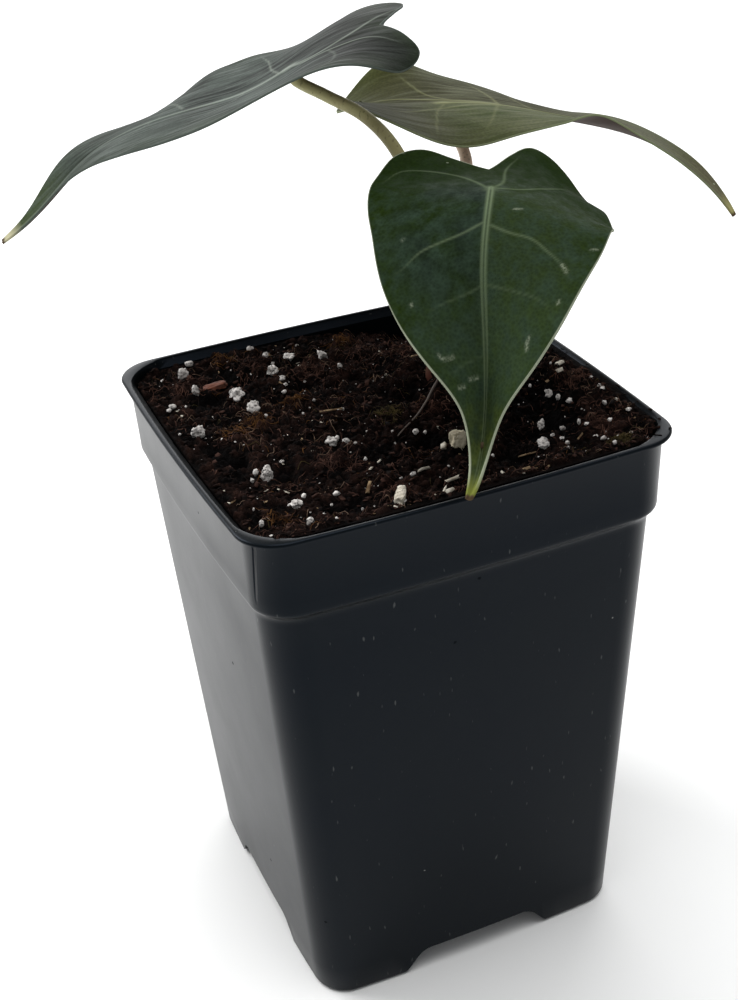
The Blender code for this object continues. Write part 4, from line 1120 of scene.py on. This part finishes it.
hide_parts("stem_base")
for side, (points, radii) in petioles.items():
    bm = bmesh.new()
    add_tube(bm, points, radii, STALK_SIDES)
    bmesh.ops.recalc_face_normals(bm, faces=bm.faces)
    petiole = settle(bm, f"leaf_stalk_{side}", stalk)
    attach(petiole, "root")
    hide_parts(f"petiole_{side}")


# The leaf blades
# Leathery arrow-shaped blades, dark green above with a paler midrib, faint side veins and
# a thin pale margin, and purple-brown below. The back lobes are joined by a web for most
# of their length. Each blade is a fine grid bent into its own posture and thickened.
BLADE_THICKNESS = 0.45
BLADE_ROWS = 240
BLADE_COLUMNS = 144
MARGIN_POINTS = 240
VEIN_POINTS = 34
# Half of a blade's outline, along and across in fractions of its length, and how far back
# the notch between the back lobes bulges.
HALF_OUTLINE = (
    (-0.385, 0.18), (-0.32, 0.28), (-0.12, 0.345), (0.08, 0.35),
    (0.36, 0.29), (0.60, 0.18), (0.76, 0.085), (0.89, 0.03), (1.0, 0.006),
)
SINUS_BULGE = 0.62
# Side veins: half width in mm at the start and the end, strength, and places along and
# across in fractions of the length (negative to the left of the way to the tip).
VEINS = {
    "left": (
        (0.55, 0.25, 0.50, (0.0, 0.0), (-0.09, -0.05), (-0.19, -0.01), (-0.28, 0.07), (-0.36, 0.15)),
        (0.50, 0.20, 0.50, (0.0, 0.0), (-0.06, -0.06), (-0.13, -0.08), (-0.23, -0.085),
         (-0.34, -0.14)),
        (0.34, 0.22, 0.38, (0.03, 0.0), (0.05, 0.09), (0.05, 0.18), (0.08, 0.35)),
        (0.35, 0.20, 0.30, (0.33, 0.03), (0.37, 0.11), (0.43, 0.18), (0.52, 0.23)),
        (0.34, 0.15, 0.22, (0.14, 0.0), (0.19, -0.10), (0.28, -0.20), (0.39, -0.27)),
        (0.30, 0.15, 0.18, (0.40, 0.02), (0.46, -0.06), (0.55, -0.13), (0.66, -0.14)),
        (0.30, 0.15, 0.22, (-0.12, -0.08), (-0.13, -0.16), (-0.10, -0.26), (-0.02, -0.33)),
    ),
    "right": (
        (0.60, 0.30, 0.60, (0.18, -0.01), (0.04, -0.025), (-0.07, -0.06), (-0.17, -0.13),
         (-0.24, -0.17)),
        (0.50, 0.25, 0.35, (0.18, 0.01), (0.05, 0.04), (-0.08, 0.09), (-0.25, 0.16)),
        (0.50, 0.28, 0.42, (0.18, -0.01), (0.19, -0.10), (0.186, -0.19), (0.18, -0.31)),
        (0.45, 0.25, 0.34, (0.04, -0.027), (-0.01, -0.09), (-0.03, -0.21), (-0.04, -0.29)),
        (0.40, 0.20, 0.28, (0.176, 0.0), (0.13, 0.10), (0.06, 0.23), (0.0, 0.31)),
        (0.36, 0.18, 0.28, (0.0, 0.02), (-0.05, 0.10), (-0.09, 0.20), (-0.13, 0.31)),
        (0.36, 0.18, 0.35, (0.29, 0.0), (0.27, -0.10), (0.28, -0.20), (0.31, -0.29)),
        (0.30, 0.15, 0.22, (0.38, 0.0), (0.44, 0.08), (0.52, 0.15), (0.62, 0.17)),
        (0.30, 0.15, 0.22, (0.46, 0.0), (0.52, -0.06), (0.60, -0.11), (0.70, -0.12)),
    ),
    "front": (
        (0.42, 0.18, 0.46, (0.0, 0.01), (-0.11, 0.055), (-0.19, 0.105), (-0.225, 0.18),
         (-0.22, 0.26), (-0.10, 0.32)),
        (0.42, 0.18, 0.42, (0.0, -0.005), (-0.08, -0.032), (-0.25, -0.054), (-0.38, -0.12)),
        (0.36, 0.15, 0.50, (0.0, -0.01), (-0.035, -0.087), (-0.128, -0.169), (-0.264, -0.274)),
        (0.34, 0.16, 0.46, (0.20, 0.005), (0.24, 0.064), (0.265, 0.118), (0.294, 0.177),
         (0.338, 0.221), (0.36, 0.25)),
        (0.34, 0.16, 0.46, (0.21, -0.005), (0.24, -0.068), (0.26, -0.126), (0.319, -0.181),
         (0.358, -0.211), (0.42, -0.24)),
        (0.28, 0.14, 0.20, (0.40, 0.0), (0.423, 0.044), (0.444, 0.099), (0.47, 0.16)),
        (0.28, 0.14, 0.20, (0.40, -0.005), (0.43, -0.089), (0.456, -0.149), (0.50, -0.20)),
        (0.24, 0.12, 0.14, (0.59, 0.0), (0.615, 0.064), (0.65, 0.125)),
    ),
}
# Healed scratches and pricks on the front blade, in fractions of its length.
MARKS = (
    ((0.589, 0.135), (0.600, 0.126), (0.599, 0.110), (0.594, 0.095)),
    ((0.553, -0.136), (0.567, -0.131), (0.581, -0.136)), ((0.295, -0.288), (0.293, -0.304)),
    ((0.135, -0.072), (0.131, -0.091)), ((0.655, 0.054), (0.651, 0.027)),
    ((0.679, 0.093), (0.674, 0.073)), ((0.358, -0.211), (0.385, -0.225)),
    ((0.445, 0.196), (0.448, 0.196)), ((0.243, 0.233), (0.245, 0.233)),
    ((0.470, -0.209), (0.473, -0.209)), ((-0.344, 0.250), (-0.341, 0.250)),
)
# Tints of the left, the right and the front blade.
BLADE_TINTS = {
    "left half": ("#161c17", "#24230c", "#242f19"),
    "right half": ("#0d120e", "#313a1b", "#18230e"),
    "patches": ("#2a312c", "#404529", "#1a231c"),
    "back lobes": ("#080c07", "#30311b", "#16240b"),
    "lower part": ("#1c231b", "#5a594c", "#313f26"),
    "near margin": ("#1f2918", "#33381a", "#1b270a"),
    "veins": ("#868e83", "#7a7c58", "#5f6c52"),
    "tip": ("#39461f", "#635c4d", "#566030"),
    "very end": ("#b3af90", "#8f8a5c", "#6f7536"),
    "streaks": ("#454f48", "#484b2e", "#28352a"),
    "rim": ("#59615b", "#7f8768", "#a3a993"),
}
# How strongly the wax reflects, and how far the streaks stand up, in millimetres.
WAX = {"left": (1.10, 0.17), "right": (1.066, 0.14), "front": (1.035, 0.05)}


def half_margin(leaf, side):
    """The margin from the notch round the lobe to the tip, in fractions of the length."""
    lobe_end = HALF_OUTLINE[0][0] * leaf["lobe"][side]
    sinus = (-leaf["web"] + SINUS_BULGE * (lobe_end + leaf["web"]), HALF_OUTLINE[0][1] / 2.0, 0.0)
    points = [(-leaf["web"], 0.0, 0.0), sinus]
    for u, v in HALF_OUTLINE:
        reach = leaf["lobe"][side] if u < 0.0 else 1.0
        points.append((u * reach, v * leaf["width"][side], 0.0))
    curve, _ = smooth_route(points, MARGIN_POINTS)
    return np.array([(point.x, point.y) for point in curve])


def distance_to(points, line):
    """Distance of each flat point to a line, and how far along the line it is met."""
    best, along = np.full(len(points), 1e9), np.zeros(len(points))
    for i, (start, end) in enumerate(zip(line[:-1], line[1:])):
        step = end - start
        share = np.clip(((points - start) @ step) / (step @ step), 0.0, 1.0)
        gap = np.linalg.norm(points - start - share[:, None] * step, axis=1)
        along = np.where(gap < best, (i + share) / (len(line) - 1), along)
        best = np.minimum(best, gap)
    return best, along


def nearness(gap, reach):
    """One on a line, and falling off smoothly over a reach to either side."""
    return np.exp(-(gap / reach) ** 2)


for number, (side, leaf) in enumerate(LEAVES.items()):
    margins = (half_margin(leaf, 0), half_margin(leaf, 1))
    bm = bmesh.new()
    bmesh.ops.create_grid(bm, x_segments=BLADE_ROWS, y_segments=BLADE_COLUMNS, size=1.0)
    grid = np.array([v.co[:2] for v in bm.verts])
    s, t = (grid[:, 0] + 1.0) / 2.0, grid[:, 1]
    order = np.linspace(0.0, 1.0, MARGIN_POINTS)
    edge_u, edge_v = (
        np.where(t < 0.0, *(np.interp(s, order, margin[:, k]) for margin in margins)) for k in (0, 1)
    )
    middle = -leaf["web"] + (1.0 + leaf["web"]) * s ** 1.5
    u = middle + (edge_u - middle) * np.abs(t) ** 1.15
    v = edge_v * t
    flat = np.stack([u, v], 1) * leaf["length"]
    # Veins lie a little proud; the midrib shows as two pale lines beside a darker one.
    vein, ridge = np.zeros(len(flat)), np.zeros(len(flat))
    for start, end, strength, *line in VEINS[side]:
        route, _ = smooth_route([(a, b, 0.0) for a, b in line], VEIN_POINTS)
        gap, along = distance_to(flat, np.array([(p.x, p.y) for p in route]) * leaf["length"])
        wide = start + (end - start) * along
        fade = strength * np.clip((1.02 - along) * 2.5, 0.0, 1.0)
        vein = np.maximum(vein, fade * nearness(gap, wide))
        ridge = np.maximum(ridge, fade * nearness(gap, wide * 1.8))
    middle_line = np.array([(k, 0.0) for k in np.linspace(0.0, 1.0, 12)])
    gap, along = distance_to(flat, middle_line * leaf["length"])
    narrowing, least, strength = (0.30, 0.55, 1.0) if side == "front" else (0.50, 0.42, 0.85)
    wide = 0.72 - narrowing * along
    fade = np.clip(1.15 - 1.2 * along, least, 1.0)
    pale_pair = strength * fade * nearness(gap - 0.62 * wide, 0.34 * wide)
    vein = np.maximum(vein, np.maximum(pale_pair, 0.22 * fade * nearness(gap, wide)))
    ridge = np.maximum(ridge, 1.1 * nearness(gap, 1.4 * wide))
    knot, _ = distance_to(flat, np.array([(-0.012, 0.0), (0.012, 0.0)]) * leaf["length"])
    vein = np.maximum(vein, 0.60 * nearness(knot, 1.2))
    healed = np.zeros(len(flat))
    for line in MARKS if side == "front" else ():
        gap, _ = distance_to(flat, np.array(line) * leaf["length"])
        healed = np.maximum(healed, 0.45 * nearness(gap, 0.30))
    whole_margin = np.concatenate([margins[0][::-4] * (1.0, -1.0), margins[1][::4]])
    edge_gap, _ = distance_to(flat, whole_margin * leaf["length"])
    margin = nearness(edge_gap, 0.26)
    inset = nearness(edge_gap, 6.0)
    places, facing = bent(leaf, u, v)
    off_middle = np.abs(flat[:, 1])
    quilt = np.sin(flat[:, 0] * 0.42 - off_middle * 0.30) * np.clip(off_middle / 6.0, 0.0, 1.0)
    raised = (0.14 * ridge + 0.06 * quilt) * np.clip(edge_gap / 3.0, 0.0, 1.0)
    places = places + facing * (raised - 0.12)[:, None]
    rib = nearness(v * leaf["length"], 1.6) * (1.0 - 0.85 * np.clip(u, 0.0, 1.0))
    uv = bm.loops.layers.uv.new("flat_leaf")
    ribs = bm.verts.layers.deform.verify()
    for vertex, place, thick in zip(bm.verts, places, rib):
        vertex.co = place
        vertex[ribs][0] = float(np.clip(thick, 0.0, 1.0))
    bm.verts.index_update()
    for face in bm.faces:
        for corner in face.loops:
            corner[uv].uv = (float(u[corner.vert.index]), float(v[corner.vert.index]) + 0.5)
    values = {"vein": vein, "margin": margin, "inset": inset, "healed": healed}
    layers = {key: bm.verts.layers.float.new(key) for key in values}
    for vertex in bm.verts:
        for key, layer in layers.items():
            vertex[layer] = float(values[key][vertex.index])
    notch = [vertex for vertex in bm.verts if abs(grid[vertex.index][0] + 1.0) < 1e-6]
    bmesh.ops.remove_doubles(bm, verts=notch, dist=0.001)
    bmesh.ops.recalc_face_normals(bm, faces=bm.faces)
    if sum(face.normal.z * face.calc_area() for face in bm.faces) < 0.0:
        bmesh.ops.reverse_faces(bm, faces=bm.faces)

    # Waxy upper skin: dark between the veins, yellower towards the margin and the tip,
    # with pale streaks along the blade, about 2 mm wide on the side blades and 4 mm on
    # the front one, fine cells about 0.7 mm across and a few healed scratches and pricks.
    tint = {part: shades[number] for part, shades in BLADE_TINTS.items()}
    wax, comb = WAX[side]
    upper, tree, shader, where = new_finish(f"leaf_upper_skin_{side}", Roughness=0.50, IOR=wax)
    unrolled = add_node(tree, "UVMap", uv_map="flat_leaf")
    flat_place = add_node(tree, "SeparateXYZ", unrolled)
    onward = flat_place.outputs["X"]
    in_vein, in_margin, near_margin, in_mark = (
        add_node(tree, "Attribute", attribute_name=key).outputs["Fac"] for key in values
    )
    half = add_node(tree, "MapRange", flat_place.outputs["Y"], 0.49, 0.51)
    halves = add_node(tree, "Mix", half, tint["left half"], tint["right half"], data_type="RGBA")
    # On the left blade the paler patches are painted sheen, where its glancing reflection comes and
    # goes; on the other two blades they lie on the right half only.
    broad = add_node(tree, "TexNoise", where, Scale=85.0, Detail=3.0, Roughness=0.55)
    patchy = add_node(tree, "MapRange", broad, 0.42, 0.58)
    patch_and_sheen_share = add_node(tree, "Math", patchy, 1.0 if side == "left" else half, operation="MULTIPLY")
    patches_and_sheen = add_node(tree, "Mix", patch_and_sheen_share, halves, tint["patches"], data_type="RGBA")
    ends = add_layers(
        tree, patches_and_sheen,
        (onward, 0.04, -0.14, 1.0, tint["back lobes"]),
        # on the front blade the paler lower part is painted light, set against the shade of its fold
        (onward, 0.35, 0.75, 1.0, tint["lower part"]),
    )
    clouds = add_node(tree, "TexNoise", where, Scale=60.0, Detail=5.0, Roughness=0.6)
    drift = add_node(tree, "MapRange", clouds, 0.30, 0.66)
    outward = add_node(tree, "Math", drift, near_margin, operation="MULTIPLY")
    green = add_node(tree, "Mix", outward, ends, tint["near margin"], data_type="RGBA")
    tipped = add_layers(tree, green, (onward, 0.70, 0.97, 1.0, tint["tip"]))
    stretch = (17.0, 20.0, 1.0) if side == "front" else (4.5, 42.0, 1.0)
    drawn_out = add_node(tree, "Mapping", unrolled, Scale=stretch)
    streaks = add_node(tree, "TexNoise", drawn_out, Scale=1.0, Detail=4.0, Roughness=0.6)
    most = 0.60 if side == "left" else 0.75
    pale_streak = add_node(tree, "MapRange", streaks, 0.38, 0.66, To_Max=most)
    main_part = add_node(tree, "MapRange", onward, -0.18, 0.12, To_Min=0.15)
    streaky = add_node(tree, "Math", pale_streak, main_part, operation="MULTIPLY")
    combed = add_node(tree, "Mix", streaky, tipped, tint["streaks"], data_type="RGBA")
    cells = add_node(tree, "TexVoronoi", where, Scale=1500.0)
    cell_tone = add_node(tree, "MapRange", cells, To_Min=0.75, To_Max=1.25)
    shaded = add_node(tree, "Mix", 1.0, combed, cell_tone, data_type="RGBA", blend_type="MULTIPLY")
    veined = add_node(tree, "Mix", in_vein, shaded, tint["veins"], data_type="RGBA")
    # Pricks are pale dots under 0.7 mm, in about one in seven cells of 6 mm.
    pricks = add_node(tree, "TexVoronoi", where, Scale=170.0)
    pick = add_node(tree, "SeparateColor", pricks.outputs["Color"])
    few = add_node(tree, "MapRange", pick.outputs["Red"], 0.84, 0.87)
    tiny = add_node(tree, "MapRange", pricks, 0.06, 0.035)
    prick = add_node(tree, "Math", few, tiny, operation="MULTIPLY")
    crumble = add_node(tree, "TexNoise", where, Scale=2200.0, Detail=2.0)
    broken = add_node(tree, "MapRange", crumble, 0.32, 0.60, To_Max=0.9)
    corky = add_node(tree, "Math", in_mark, broken, operation="MULTIPLY")
    scar = add_node(tree, "Math", prick, corky, operation="MAXIMUM")
    scarred = add_node(tree, "Mix", scar, veined, "#a3ab94", data_type="RGBA")
    rimmed = add_layers(
        tree, scarred,
        (in_margin, 0.45, 0.98, 0.75, tint["rim"]),
        (onward, 0.92, 0.975, 1.0, tint["very end"]),
        (onward, 0.986, 0.994, 1.0, "#4e4030"),
    )
    feed(shader, "Base Color", rimmed)
    feed(shader, "Roughness", add_node(tree, "MapRange", streaks, 0.35, 0.65, 0.60, 0.42))
    leather = add_node(tree, "Bump", Height=cells, Strength=0.10, Distance=0.0002)
    combed_up = add_node(tree, "Bump", Height=streaks, Strength=0.6, Distance=comb * MM, Normal=leather)
    feed(shader, "Normal", combed_up)

    # Lower skin: matt, purple-brown, with greener raised veins.
    lower, tree, shader, where = new_finish(f"leaf_lower_skin_{side}", Roughness=0.6, IOR=1.09)
    in_vein, in_margin = (
        add_node(tree, "Attribute", attribute_name=key).outputs["Fac"] for key in ("vein", "margin")
    )
    clouds = add_node(tree, "TexNoise", where, Scale=60.0, Detail=4.0)
    plum = add_node(tree, "Mix", clouds, "#2a1d1a", "#463a2e", data_type="RGBA")
    veined = add_node(tree, "Mix", in_vein, plum, "#6a6245", data_type="RGBA")
    feed(shader, "Base Color", add_layers(tree, veined, (in_margin, 0.6, 1.0, 0.8, "#7d7f62")))
    downy = add_node(tree, "TexNoise", where, Scale=1500.0, Detail=2.0)
    feed(shader, "Normal", add_node(tree, "Bump", Height=downy, Strength=0.2, Distance=0.0002))

    blade = settle(bm, f"blade_{side}", upper, lower)
    blade.vertex_groups.new(name="rib")
    thicken = blade.modifiers.new("Thickness", "SOLIDIFY")
    thicken.thickness = RIB_THICKNESS * MM
    thicken.offset = -1.0
    thicken.vertex_group = "rib"
    thicken.thickness_vertex_group = BLADE_THICKNESS / RIB_THICKNESS
    thicken.material_offset = 1
    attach(blade, "root")
    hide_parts(f"leaf_{side}")
